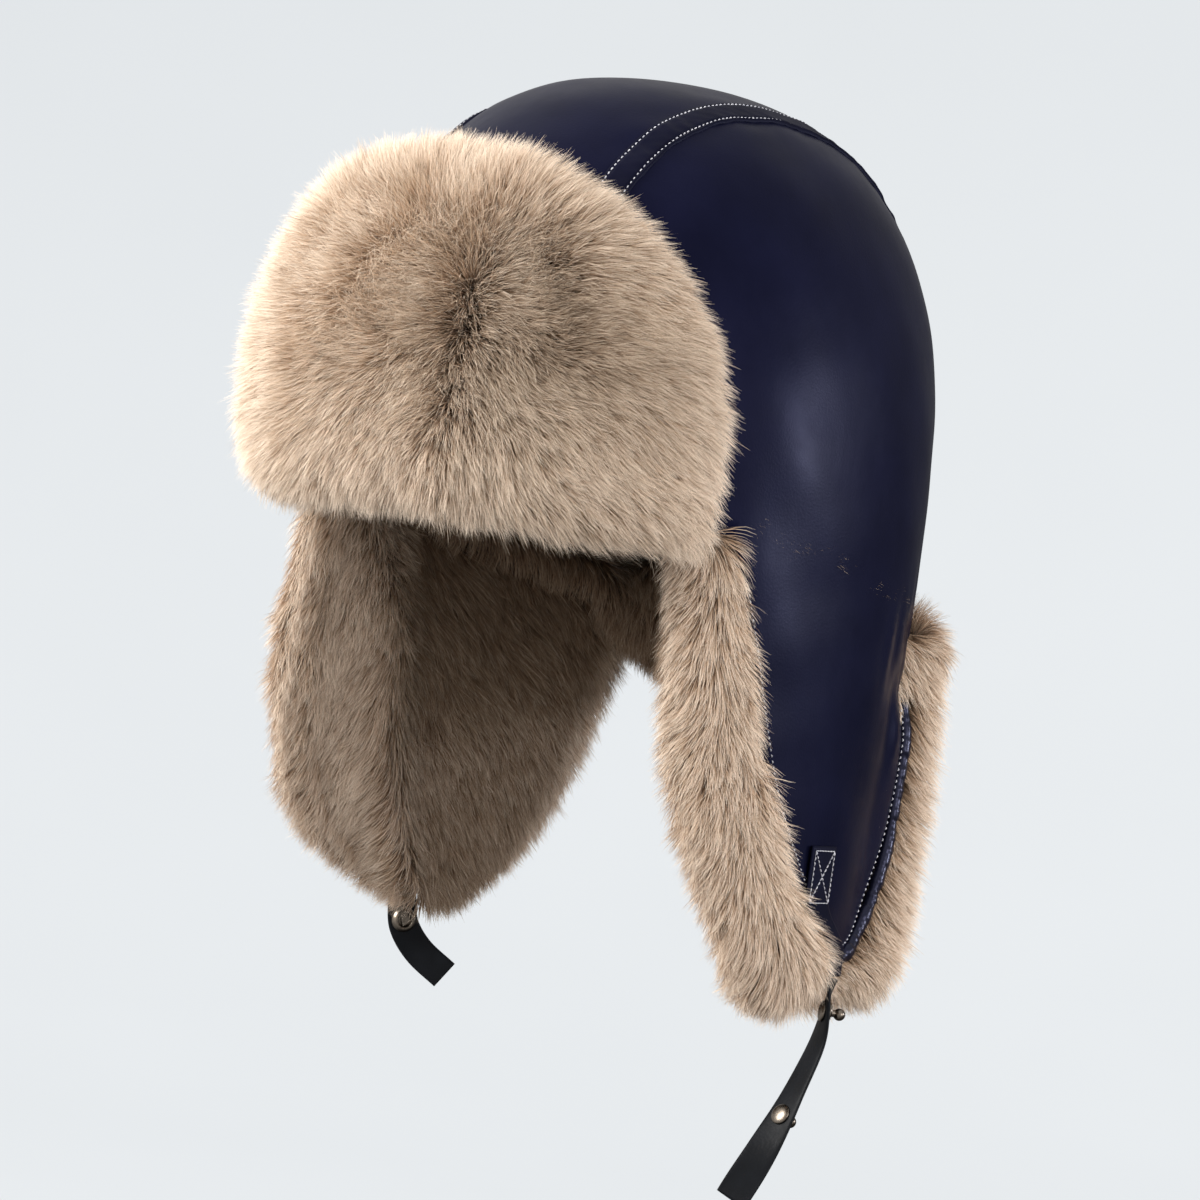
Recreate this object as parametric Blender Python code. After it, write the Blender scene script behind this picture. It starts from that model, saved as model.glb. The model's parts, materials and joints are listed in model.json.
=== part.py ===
"""Trapper hat: leather crown, turned-up fur brim, two fur ear flaps and snap chin straps.

Frame: +Z up, the hat faces -Y and the wearer's left is +X.  The origin is the middle of the
head opening, 2 mm below the crown's edge at the forehead.
"""
import math

import bmesh
import bpy
from mathutils import Matrix, Vector

MM = 0.001
GAP = 0.3 * MM

# The leather's outer surface: a superellipse in plan and in height.
HALF_WIDTH = 97.5 * MM
HALF_LENGTH = 126.0 * MM
CROWN_HEIGHT = 162.0 * MM
PLAN_POWER = 2.15
DOME_POWER = 2.6
TOP_SET_BACK = 4.0 * MM
SKIRT_PER_RADIAN = 260.0 * MM

# The lower edge of the crown, and the slanting line on which each ear flap folds.
FRONT_EDGE = 2.0 * MM
FOLD_FRONT_ANGLE = 67.0
FOLD_REAR_ANGLE = 131.0
FOLD_REAR_Z = -24.0 * MM
NAPE_EDGE = -17.0 * MM
NAPE_RISE_ANGLE = 18.0
FOLD_GAP = 1.2 * MM

# Seams between the centre panel and the side panels.
SEAM_X = 46.0 * MM
SEAM_BAND_WIDTH = 9.0 * MM

# Layers, as (outer, inner) distances inside the leather's outer surface.
LEATHER_LAYER = (0.0, 1.2 * MM)
BAND_LAYER = (-2.0 * MM, -0.7 * MM)
WADDING_LAYER = (3.2 * MM, 8.0 * MM)
LINING_LAYER = (9.6 * MM, 10.8 * MM)
SWEATBAND_LAYER = (12.2 * MM, 13.8 * MM)
NAPE_FUR_LAYER = (9.6 * MM, 24.0 * MM)
FLAP_WADDING_LAYER = (2.6 * MM, 5.6 * MM)
FLAP_FUR_BACK = 6.8 * MM
FLAP_FUR_FACE = 23.0 * MM
ANCHOR_LAYER = (-2.2 * MM, -0.6 * MM)

NAPE_FUR_TOP = 11.0 * MM
NAPE_FUR_OVERHANG = 22.0 * MM
NAPE_FUR_DIP = 12.0 * MM
NAPE_DIP_ANGLES = (141.0, 155.0)
NAPE_LIP_DROP = 7.0 * MM
NAPE_LIP_INSET = -9.0 * MM
NAPE_LIP_RAMP = (2.0 * MM, 12.0 * MM)
NAPE_LIP_STEP = 0.1 * MM

# The lip's section, from its bottom up: (share of its height below the leather, share of its reach).
NAPE_LIP = [(1.0, 0.55), (0.75, 0.95), (0.35, 1.0), (0.0, 0.75)]
WADDING_SETBACK = 1.5 * MM
LINING_EDGE_BACK = 12.0 * MM
SWEATBAND_BOTTOM = 14.0 * MM
SWEATBAND_TOP = 40.0 * MM

# Ear flap outline: (degrees round from the front, height in mm), front root to rear root.
FLAP_OUTLINE = [
    (66, 2), (73, -36), (82, -84), (95, -127), (105.5, -141),
    (115, -131), (122.5, -100), (126, -68), (131, -24),
]
FLAP_MM_PER_DEGREE = 1.85
FLAP_WADDING_GROWTH = -4.0

# The roll of fur outside a flap's hem: (growth, inset, radius) along it and at the tip, in mm.
FUR_ROLL = (14.0, 2.0, 8.0)
FUR_ROLL_TIP = (9.5, 14.2, 7.0)
FUR_ROLL_ROOT = (10.5, 14.2, 6.0)
FUR_ROLL_FOOT = 7.0
FUR_EDGE = 5.0 * MM

# The right flap rests swung out a little; its strap still hangs straight down.
RIGHT_FLAP_SPLAY = 8.0
FOLD_AXIS_OUT = 0.5 * MM
RIGHT_FLAP_PARTS = ("right_flap_leather", "right_flap_wadding", "right_flap_fur", "right_flap_hem",
                    "right_strap_anchor")
RIGHT_STRAP_PARTS = ("right_strap", "snap_socket", "socket_cap", "socket_spring")

# Brim: a stiff leather backed flap of fur, folded up against the crown.
BRIM_HALF_ANGLE = 55.0
BRIM_BOTTOM = 4.0 * MM
BRIM_END_DROP = 10.0 * MM
BRIM_END_TOP = 22.0 * MM
BRIM_TOP = 112.0 * MM
BRIM_CORNER_POWER = 2.3
BRIM_LEATHER_LAYER = (-4.2 * MM, -2.8 * MM)
BRIM_STIFFENER_LAYER = (-6.6 * MM, -5.0 * MM)
BRIM_FUR_BACK = -7.4 * MM
BRIM_FUR_THICKNESS = 22.0 * MM

HEM_RADIUS = 1.9 * MM
HEM_INSET = 2.3 * MM

# Chin straps.  Each is sewn flat on its flap down to the tip and swings just below it.
# A route is (toward the face centre, toward the back, down, twist degrees), in mm.
STRAP_WIDTH = 12.0 * MM
STRAP_THICKNESS = 1.6 * MM
STRAP_TOP = -147.0 * MM
STRAP_TOP_GAP = 1.0 * MM
STRAP_ANGLE = 105.5
ANCHOR_TOP = -100.0 * MM
ANCHOR_BEND = -136.0 * MM
ANCHOR_TOP_ANGLE = 94.0
LONG_STRAP_ROUTE = [
    (0, 0, 0, 0), (0, -1, 8, 22), (1, -3, 24, 45), (3, -11, 44, 58), (5, -19, 60, 80), (8, -31, 80, 115),
]
SHORT_STRAP_ROUTE = [(0, 0, 0, 0), (0, 1, 9, 10), (1, 3, 18, 18), (5, 9, 27, 24), (13, 17, 35, 28)]
SNAP_BALL_RADIUS = 2.2 * MM
SNAP_GAP = 0.8 * MM
SNAP_STUD_PLACES = {"upper": 0.26, "lower": 0.67}
SNAP_SOCKET_PLACE = 0.42

# Materials: colour, roughness, metallic.
LEATHER = ("navy_leather", (0.012, 0.013, 0.035), 0.34, 0.0)
FUR = ("beige_fur", (0.52, 0.40, 0.30), 0.92, 0.0)
SATIN = ("dark_satin", (0.010, 0.010, 0.014), 0.45, 0.0)
WADDING = ("wadding", (0.72, 0.72, 0.70), 0.95, 0.0)
STIFFENER = ("stiffener_board", (0.30, 0.28, 0.25), 0.80, 0.0)
STRAP_LEATHER = ("strap_leather", (0.016, 0.019, 0.028), 0.42, 0.0)
METAL = ("gunmetal", (0.16, 0.14, 0.12), 0.30, 1.0)


def clear_scene():
    for item in list(bpy.data.objects):
        bpy.data.objects.remove(item, do_unlink=True)


def material(spec):
    name, colour, roughness, metallic = spec
    found = bpy.data.materials.get(name)
    if found:
        return found
    made = bpy.data.materials.new(name)
    made.use_nodes = True
    shader = made.node_tree.nodes["Principled BSDF"]
    shader.inputs["Base Color"].default_value = (*colour, 1.0)
    shader.inputs["Roughness"].default_value = roughness
    shader.inputs["Metallic"].default_value = metallic
    return made


def add_object(name, data, spec):
    piece = bpy.data.objects.new(name, data)
    data.materials.append(material(spec))
    bpy.context.scene.collection.objects.link(piece)
    return piece


def add_mesh(name, bm, spec):
    """Turn a bmesh into a node with its faces pointing out."""
    bmesh.ops.recalc_face_normals(bm, faces=bm.faces)
    mesh = bpy.data.meshes.new(name)
    bm.to_mesh(mesh)
    bm.free()
    mesh.shade_smooth()
    mesh.set_sharp_from_angle(angle=math.radians(40))
    return add_object(name, mesh, spec)


def power(value, exponent):
    return math.copysign(abs(value) ** exponent, value)


def spread(start, end, steps):
    """Evenly spaced values from start to end, both included."""
    return [start + (end - start) * step / steps for step in range(steps + 1)]


def ramp(value, low, high):
    """A smooth step from 0 at low to 1 at high."""
    t = min(max((value - low) / (high - low), 0.0), 1.0)
    return t * t * (3 - 2 * t)


def smooth_path(points, place):
    """A point on the Catmull-Rom curve through the points, place running from 0 to 1."""
    span = min(place * (len(points) - 1), len(points) - 1 - 1e-9)
    index = int(span)
    t = span - index
    p1, p2 = Vector(points[index]), Vector(points[index + 1])
    p0 = Vector(points[index - 1]) if index else 2 * p1 - p2
    p3 = Vector(points[index + 2]) if index + 2 < len(points) else 2 * p2 - p1
    bend = 2 * p0 - 5 * p1 + 4 * p2 - p3
    twist = 3 * p1 - p0 - 3 * p2 + p3
    return p1 + 0.5 * (t * (p2 - p0) + t * t * bend + t ** 3 * twist)


# --- the hat's surface -------------------------------------------------------------------

def head_point(degrees, z, inset=0.0):
    """A point on the hat at an angle round from the front (left positive) and a height."""
    angle = math.radians(degrees)
    rise = min(max(z, 0.0) / (CROWN_HEIGHT - inset), 1.0)
    shrink = (1.0 - rise ** DOME_POWER) ** (1.0 / DOME_POWER)
    x = (HALF_WIDTH - inset) * shrink * power(math.sin(angle), 2 / PLAN_POWER)
    y = -(HALF_LENGTH - inset) * shrink * power(math.cos(angle), 2 / PLAN_POWER)
    return Vector((x, y + TOP_SET_BACK * rise ** 1.5, z))


def level(station, inset=0.0):
    """Height of a station on the profile: radians up the dome, or down the skirt if negative."""
    if station < 0:
        return station * SKIRT_PER_RADIAN
    return (CROWN_HEIGHT - inset) * math.sin(min(station, math.pi / 2)) ** (2 / DOME_POWER)


def station_of(z):
    """The station at a height, the inverse of level()."""
    if z < 0:
        return z / SKIRT_PER_RADIAN
    return math.asin(min(z / CROWN_HEIGHT, 1.0) ** (DOME_POWER / 2))


def over_point(x, side, station, inset=0.0):
    """A point on the fore-and-aft section at x; side is -1 in front and 1 behind."""
    half_width, half_length = HALF_WIDTH - inset, HALF_LENGTH - inset
    reach = half_length * (1 - (abs(x) / half_width) ** PLAN_POWER) ** (1 / PLAN_POWER)
    if station < 0:
        return Vector((x, side * reach, level(station)))
    y = side * reach * math.cos(station) ** (2 / DOME_POWER)
    radius = (abs(x) / half_width) ** PLAN_POWER + (abs(y) / half_length) ** PLAN_POWER
    rise = (1 - min(radius ** (1 / PLAN_POWER), 1.0) ** DOME_POWER) ** (1 / DOME_POWER)
    return Vector((x, y + TOP_SET_BACK * rise ** 1.5, (CROWN_HEIGHT - inset) * rise))


def fold_line():
    """The fold line's front end, its level direction toward the back, and its slope."""
    front = head_point(FOLD_FRONT_ANGLE, FRONT_EDGE)
    rear = head_point(FOLD_REAR_ANGLE, FOLD_REAR_Z)
    along = Vector((rear.x - front.x, rear.y - front.y, 0.0))
    return front, along.normalized(), (rear.z - front.z) / along.length


def fold_axis():
    """A point on the left flap's fold line, just outside the leather, and its direction."""
    front, along, slope = fold_line()
    across = Vector((along.y, -along.x, 0.0))
    reach = max(head_point(degrees, 0.0).dot(across) for degrees in spread(60.0, 140.0, 80))
    start = front + across * (reach + FOLD_AXIS_OUT - front.dot(across))
    start.z -= FOLD_GAP / 2
    return start, Vector((along.x, along.y, slope)).normalized()


def fold_height(point):
    """Height of the fold plane at a point on either side of the hat."""
    front, along, slope = fold_line()
    offset = Vector((abs(point.x) - front.x, point.y - front.y, 0.0))
    return min(front.z + slope * offset.dot(along), FRONT_EDGE)


def nape_height(degrees):
    """Height of the leather's lower edge behind the ear flap."""
    t = min((abs(degrees) - FOLD_REAR_ANGLE) / NAPE_RISE_ANGLE, 1.0)
    return FOLD_REAR_Z + (NAPE_EDGE - FOLD_REAR_Z) * math.sin(t * math.pi / 2)


def crown_edge(degrees, inset):
    """Height of the crown's lower edge at an angle."""
    if abs(degrees) > FOLD_REAR_ANGLE:
        return nape_height(degrees) + GAP
    return fold_height(head_point(degrees, 0.0, inset)) + GAP


# --- solids from grids of points ---------------------------------------------------------

def grid_solid(name, outer, inner, spec, ring=False):
    """Close two matching grids of points, given as rows, into one solid."""
    bm = bmesh.new()
    skins = [[[bm.verts.new(point) for point in row] for row in skin] for skin in (outer, inner)]
    rows, columns = len(outer), len(outer[0])
    last = columns if ring else columns - 1
    for skin in skins:
        for i in range(rows - 1):
            for j in range(last):
                k = (j + 1) % columns
                bm.faces.new((skin[i][j], skin[i][k], skin[i + 1][k], skin[i + 1][j]))
    front, back = skins
    for i in (0, rows - 1):
        for j in range(last):
            k = (j + 1) % columns
            bm.faces.new((front[i][j], front[i][k], back[i][k], back[i][j]))
    if not ring:
        for j in (0, columns - 1):
            for i in range(rows - 1):
                bm.faces.new((front[i][j], front[i + 1][j], back[i + 1][j], back[i][j]))
    return add_mesh(name, bm, spec)


def dome_solid(name, layer, columns, edge, stations, spec):
    """A whole dome with a wall, open below: rings from its edge up to one point on top."""
    bm = bmesh.new()
    walls = []
    for inset in layer:
        rings = []
        for t in spread(0.0, 1.0, stations)[:-1]:
            ring = []
            for degrees in columns:
                start = station_of(edge(degrees, inset))
                z = level(start + (math.pi / 2 - start) * t, inset)
                ring.append(bm.verts.new(head_point(degrees, z, inset)))
            rings.append(ring)
        top = bm.verts.new(head_point(0.0, CROWN_HEIGHT - inset, inset))
        for i, ring in enumerate(rings):
            for j in range(len(ring)):
                k = (j + 1) % len(ring)
                if i + 1 < len(rings):
                    bm.faces.new((ring[j], ring[k], rings[i + 1][k], rings[i + 1][j]))
                else:
                    bm.faces.new((ring[j], ring[k], top))
        walls.append(rings[0])
    outer, inner = walls
    for j in range(len(outer)):
        k = (j + 1) % len(outer)
        bm.faces.new((outer[j], outer[k], inner[k], inner[j]))
    return add_mesh(name, bm, spec)


def ring_angles():
    """Angles all round the hat with a column at each end of both fold lines."""
    half = spread(0.0, FOLD_FRONT_ANGLE, 6) + spread(FOLD_FRONT_ANGLE, FOLD_REAR_ANGLE, 6)[1:]
    half += spread(FOLD_REAR_ANGLE, 180.0, 5)[1:]
    return half + [-degrees for degrees in reversed(half[1:-1])]


# --- crown -------------------------------------------------------------------------------

def seam_angle(z):
    """Angle from the front at which the seam crosses a height."""
    rise = max(z, 0.0) / CROWN_HEIGHT
    shrink = (1.0 - rise ** DOME_POWER) ** (1.0 / DOME_POWER)
    return math.degrees(math.asin((SEAM_X / (HALF_WIDTH * shrink)) ** (PLAN_POWER / 2)))


def seam_station(degrees, inset):
    """How far up the dome the side panel runs at an angle before it meets the seam."""
    reach = (HALF_WIDTH - inset) * math.sin(math.radians(degrees)) ** (2 / PLAN_POWER)
    shrink = min((SEAM_X + GAP) / reach, 1.0)
    return station_of(CROWN_HEIGHT * (1 - shrink ** DOME_POWER) ** (1 / DOME_POWER))


def over_stations():
    """Front edge, over the top and down to the nape, as (side, station) pairs."""
    up = spread(station_of(FRONT_EDGE), math.pi / 2, 12)
    down = spread(math.pi / 2, 0.0, 12)[1:]
    front = [(-1, station) for station in up]
    return front + [(1, station) for station in down] + [(1, station_of(NAPE_EDGE + GAP))]


def make_centre_panel():
    half = SEAM_X - GAP
    skins = [[[over_point(x, side, station, inset) for x in spread(-half, half, 6)]
              for side, station in over_stations()] for inset in LEATHER_LAYER]
    grid_solid("crown_centre_panel", *skins, LEATHER)


def side_panel_angles():
    """Columns that follow the steep seam front and rear, and both ends of the fold line."""
    steep = [seam_angle(level(station)) for station in spread(station_of(8 * MM), station_of(135 * MM), 5)]
    columns = steep + spread(steep[-1], 180.0 - steep[-1], 11)[1:-1] + [180.0 - degrees for degrees in steep]
    folds = [FOLD_FRONT_ANGLE, FOLD_REAR_ANGLE]
    clear = [degrees for degrees in columns if min(abs(degrees - fold) for fold in folds) > 3.0]
    return sorted(clear + folds + [180.0 - seam_angle(0.0)])


def make_side_panel(name, hand):
    columns = side_panel_angles()
    skins = []
    for inset in LEATHER_LAYER:
        rows = []
        for t in spread(0.0, 1.0, 10):
            row = []
            for degrees in columns:
                start = station_of(crown_edge(degrees, inset))
                end = max(seam_station(degrees, inset), start + 0.02)
                point = head_point(degrees, level(start + (end - start) * t, inset), inset)
                point.x = hand * max(point.x, SEAM_X + GAP)
                row.append(point)
            rows.append(row)
        skins.append(rows)
    grid_solid(name, *skins, LEATHER)


def make_seam_band(name, hand):
    half = SEAM_BAND_WIDTH / 2
    across = [hand * x for x in (SEAM_X - half, SEAM_X, SEAM_X + half)]
    skins = [[[over_point(x, side, station, inset) for x in across]
              for side, station in over_stations()] for inset in BAND_LAYER]
    grid_solid(name, *skins, LEATHER)


def wadding_edge(degrees, inset):
    return crown_edge(degrees, inset) + WADDING_SETBACK


def lining_edge(degrees, _inset):
    return FRONT_EDGE + GAP if abs(degrees) < FOLD_FRONT_ANGLE else LINING_EDGE_BACK


def make_crown_inside():
    dome_solid("crown_wadding", WADDING_LAYER, ring_angles(), wadding_edge, 11, WADDING)
    dome_solid("crown_lining", LINING_LAYER, ring_angles(), lining_edge, 9, SATIN)
    heights = (SWEATBAND_BOTTOM, SWEATBAND_TOP)
    skins = [[[head_point(degrees, z, inset) for degrees in ring_angles()] for z in heights]
             for inset in SWEATBAND_LAYER]
    grid_solid("sweatband", *skins, SATIN, ring=True)


def nape_fur_column(degrees):
    """(height, inset) pairs up the fur's outer and inner faces at an angle, lip first."""
    outer, inner = NAPE_FUR_LAYER
    turn = degrees if degrees <= 180.0 else 360.0 - degrees
    faces = [[], []]
    for face, inset in zip(faces, NAPE_FUR_LAYER):
        edge = low = crown_edge(turn, inset)
        if turn > FOLD_REAR_ANGLE:
            floor = fold_height(head_point(turn, 0.0, inset)) + GAP
            floor -= NAPE_FUR_DIP * ramp(turn, *NAPE_DIP_ANGLES)
            low = max(edge - NAPE_FUR_OVERHANG, floor)
            edge = max(edge - NAPE_LIP_DROP, low)
        reach = (outer - NAPE_LIP_INSET) * ramp(edge - low, *NAPE_LIP_RAMP) if inset == outer else 0.0
        for down, lip in NAPE_LIP:
            face.append((edge + (low - edge) * down, inset - reach * lip))
        for rise in (0.0, 0.5, 1.0):
            face.append((edge + NAPE_LIP_STEP + (NAPE_FUR_TOP - edge) * rise, inset))
    return faces


def make_nape_fur():
    """The fur inside the back of the hat, with a lip that rolls out below the leather."""
    side = spread(FOLD_FRONT_ANGLE, FOLD_REAR_ANGLE, 6)
    half = side + spread(FOLD_REAR_ANGLE, 180.0, 6)[1:]
    angles = half + [360.0 - degrees for degrees in reversed(half[:-1])]
    columns = [nape_fur_column(degrees) for degrees in angles]
    skins = [[[head_point(degrees, *place) for degrees, place in zip(angles, row)]
              for row in zip(*(column[face] for column in columns))] for face in (0, 1)]
    grid_solid("nape_fur", *skins, FUR)


def make_tube(name, points, radius, spec):
    curve = bpy.data.curves.new(name, "CURVE")
    curve.dimensions = "3D"
    curve.bevel_depth = radius
    curve.bevel_resolution = 2
    curve.use_fill_caps = True
    spline = curve.splines.new("POLY")
    spline.points.add(len(points) - 1)
    for target, point in zip(spline.points, points):
        target.co = (*point, 1.0)
    return add_object(name, curve, spec)


def make_nape_hem():
    drop = HEM_RADIUS + 4 * GAP
    half = spread(FOLD_REAR_ANGLE + 3.0, 180.0, 10)
    points = [head_point(degrees, nape_height(degrees) - drop, HEM_INSET) for degrees in half]
    mirrored = [Vector((-point.x, point.y, point.z)) for point in reversed(points[:-1])]
    make_tube("nape_hem", points + mirrored, HEM_RADIUS, LEATHER)


# --- brim --------------------------------------------------------------------------------

def brim_heights(u, shrink):
    """Bottom and top of the brim at u, which runs from -1 to 1 across it."""
    bottom = BRIM_BOTTOM - BRIM_END_DROP * u * u + shrink
    rise = (1 - min(abs(u), 1.0) ** BRIM_CORNER_POWER) ** (1 / BRIM_CORNER_POWER)
    top = BRIM_END_TOP + (BRIM_TOP - BRIM_END_TOP) * rise - shrink
    return bottom, top


def brim_grid(inset, shrink, bulge=0.0):
    """Points across the brim; bulge puffs the middle out and leaves the edges thin."""
    half_angle = BRIM_HALF_ANGLE - math.degrees(shrink / HALF_LENGTH)
    rows = []
    for v in spread(0.0, 1.0, 8):
        row = []
        for u in spread(-1.0, 1.0, 16):
            bottom, top = brim_heights(u, shrink)
            puff = (1 - abs(u) ** 5) ** 0.5 * (1 - abs(2 * v - 1) ** 4) ** 0.5
            row.append(head_point(half_angle * u, bottom + (top - bottom) * v, inset - bulge * puff))
        rows.append(row)
    return rows


def make_brim():
    backing = 3.0 * MM
    for name, layer, shrink, spec in (
        ("brim_leather_back", BRIM_LEATHER_LAYER, backing, LEATHER),
        ("brim_stiffener", BRIM_STIFFENER_LAYER, 2 * backing, STIFFENER),
    ):
        grid_solid(name, *[brim_grid(inset, shrink) for inset in layer], spec)
    face = brim_grid(BRIM_FUR_BACK - FUR_EDGE, 0.0, BRIM_FUR_THICKNESS - FUR_EDGE)
    grid_solid("brim_fur", face, brim_grid(BRIM_FUR_BACK, 0.0), FUR)


# --- ear flaps ---------------------------------------------------------------------------

def flap_outline(place, growth):
    """(degrees, height) on the flap's free edge, moved outward by growth millimetres."""
    def flat(at):
        degrees, height = smooth_path(FLAP_OUTLINE, min(max(at, 0.0), 1.0))
        return Vector((degrees * FLAP_MM_PER_DEGREE, height))

    step = 0.01
    run = (flat(place + step) - flat(place - step)).normalized()
    point = flat(place) + growth * Vector((run.y, -run.x))
    return point.x / FLAP_MM_PER_DEGREE, point.y * MM


def flap_point(hand, degrees, z, inset, root):
    """A point on the flap; root is 1 on the fold plane and 0 far below it."""
    here = head_point(degrees, z, inset)
    z += (fold_height(here) - FOLD_GAP - here.z) * root
    return head_point(hand * degrees, z, inset)


def flap_place(hand, s, c, inset, growth):
    """A point on the flap: s from the fold to the tip, c from its front edge to its rear edge."""
    front = flap_outline(s / 2, growth)
    rear = flap_outline(1 - s / 2, growth)
    degrees = front[0] + (rear[0] - front[0]) * c
    z = front[1] + (rear[1] - front[1]) * c
    return flap_point(hand, degrees, z, inset, (1 - s) ** 6)


def flap_grid(hand, inset, growth):
    """Rows from the fold down to the tip, each from the front edge to the rear edge."""
    return [[flap_place(hand, s, c, inset, growth) for c in spread(0.0, 1.0, 8)]
            for s in spread(0.0, 0.97, 10)]


def fur_roll(s):
    """Growth, inset and radius of the fur roll at s: tucked in at both its ends."""
    start, end = ramp(s, 0.10, 0.30), ramp(s, 0.80, 0.93)
    return [root + (mid - root) * start + (tip - mid) * end
            for root, mid, tip in zip(FUR_ROLL_ROOT, FUR_ROLL, FUR_ROLL_TIP)]


def flap_fur_ring(hand, s):
    """One section of a flap's fur: its face, the rear roll, its back and the front roll."""
    growth, inset, radius = fur_roll(s)
    turns = [math.radians(degrees) for degrees in (70, 25, -20, -65, -110, -155)]
    roll = [(growth + radius * math.cos(turn), (inset + radius * math.sin(turn)) * MM) for turn in turns]
    crown = FLAP_FUR_FACE - FLAP_FUR_BACK
    ring = []
    for c in spread(0.06, 0.94, 6):
        puff = (1 - abs(2 * c - 1) ** 5) ** 0.5 * (1 - s ** 8) ** 0.5
        depth = FLAP_FUR_BACK + FUR_EDGE + (crown - FUR_EDGE) * puff
        ring.append(flap_place(hand, s, c, depth, 6.0))
    roll.append((FUR_ROLL_FOOT, FLAP_FUR_BACK))
    ring += [flap_place(hand, s, 1.0, depth, out) for out, depth in roll]
    ring += [flap_place(hand, s, c, FLAP_FUR_BACK, 4.0) for c in spread(0.94, 0.06, 3)]
    ring += [flap_place(hand, s, 0.0, depth, out) for out, depth in reversed(roll)]
    return ring


def make_flap_fur(side, hand):
    bm = bmesh.new()
    rings = [[bm.verts.new(point) for point in flap_fur_ring(hand, s)] for s in spread(0.0, 0.97, 14)]
    for upper, lower in zip(rings, rings[1:]):
        for j in range(len(upper)):
            k = (j + 1) % len(upper)
            bm.faces.new((upper[j], upper[k], lower[k], lower[j]))
    bm.faces.new(rings[0])
    bm.faces.new(rings[-1])
    add_mesh(f"{side}_flap_fur", bm, FUR)


def make_flap(side, hand):
    leather = [flap_grid(hand, inset, 0.0) for inset in LEATHER_LAYER]
    grid_solid(f"{side}_flap_leather", *leather, LEATHER)
    wadding = [flap_grid(hand, inset, FLAP_WADDING_GROWTH) for inset in FLAP_WADDING_LAYER]
    grid_solid(f"{side}_flap_wadding", *wadding, WADDING)
    make_flap_fur(side, hand)
    make_flap_hem(side, hand)
    make_strap_anchor(side, hand)


def make_flap_hem(side, hand):
    growth = (HEM_RADIUS + GAP) / MM
    points = []
    for place in spread(0.04, 0.95, 30):
        degrees, z = flap_outline(place, growth)
        points.append(head_point(hand * degrees, z, HEM_INSET))
    make_tube(f"{side}_flap_hem", points, HEM_RADIUS, LEATHER)


def make_strap_anchor(side, hand):
    """The end of the chin strap, sewn flat on the flap's leather above its tip."""
    half = math.degrees(STRAP_WIDTH / 2 / HALF_WIDTH)
    skins = []
    for inset in ANCHOR_LAYER:
        rows = []
        for z in spread(ANCHOR_TOP, ANCHOR_BEND, 4) + [STRAP_TOP + STRAP_TOP_GAP]:
            t = min((z - ANCHOR_TOP) / (ANCHOR_BEND - ANCHOR_TOP), 1.0)
            middle = ANCHOR_TOP_ANGLE + (STRAP_ANGLE - ANCHOR_TOP_ANGLE) * t
            across = (middle - half, middle, middle + half)
            rows.append([head_point(hand * degrees, z, inset) for degrees in across])
        skins.append(rows)
    grid_solid(f"{side}_strap_anchor", *skins, STRAP_LEATHER)


# --- chin straps -------------------------------------------------------------------------

def strap_frame(hand, route, place):
    """Centre, outward normal and run of a strap at a place from 0 at its top to 1 at its end."""
    def centre(at):
        inward, back, down, _ = smooth_path(route, min(max(at, 0.0), 1.0))
        return top + Vector((-hand * inward, back, -down)) * MM

    middle = (ANCHOR_LAYER[0] + ANCHOR_LAYER[1]) / 2
    top = head_point(hand * STRAP_ANGLE, STRAP_TOP, middle)
    outward = head_point(hand * STRAP_ANGLE, 0.0, -1.0) - head_point(hand * STRAP_ANGLE, 0.0)
    outward.z = 0.0
    step = 0.02
    run = (centre(place + step) - centre(place - step)).normalized()
    turn = Matrix.Rotation(math.radians(hand * smooth_path(route, place)[3]), 3, "Z")
    normal = turn @ outward.normalized()
    normal = (normal - run * normal.dot(run)).normalized()
    return centre(place), normal, run


def make_strap(name, hand, route):
    bm = bmesh.new()
    sections = []
    for place in spread(0.0, 1.0, 16):
        centre, normal, run = strap_frame(hand, route, place)
        across = run.cross(normal) * STRAP_WIDTH / 2
        depth = normal * STRAP_THICKNESS / 2
        corners = (across + depth, across - depth, -across - depth, -across + depth)
        sections.append([bm.verts.new(centre + corner) for corner in corners])
    for upper, lower in zip(sections, sections[1:]):
        for j in range(4):
            k = (j + 1) % 4
            bm.faces.new((upper[j], upper[k], lower[k], lower[j]))
    bm.faces.new(sections[0])
    bm.faces.new(sections[-1])
    return add_mesh(name, bm, STRAP_LEATHER)


def turned(name, profile, steps, spec):
    """A round piece turned about Z; the profile, in mm, runs down its outer side."""
    mesh = bpy.data.meshes.new(name)
    points = [(radius * MM, 0.0, height * MM) for radius, height in profile]
    mesh.from_pydata(points, [(i, i + 1) for i in range(len(points) - 1)], [])
    piece = add_object(name, mesh, spec)
    screw = piece.modifiers.new("turn", "SCREW")
    screw.steps = steps
    screw.render_steps = steps
    screw.use_merge_vertices = True
    screw.merge_threshold = 0.00001
    screw.use_smooth_shade = True
    return piece


def place_on_strap(piece, hand, route, place, face):
    """Stand a turned piece on a strap's outer (1) or inner (-1) face."""
    centre, normal, run = strap_frame(hand, route, place)
    up = normal * face
    turn = Matrix((run.cross(up), run, up)).transposed()
    piece.matrix_world = Matrix.Translation(centre + up * (STRAP_THICKNESS / 2 + SNAP_GAP)) @ turn.to_4x4()


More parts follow.
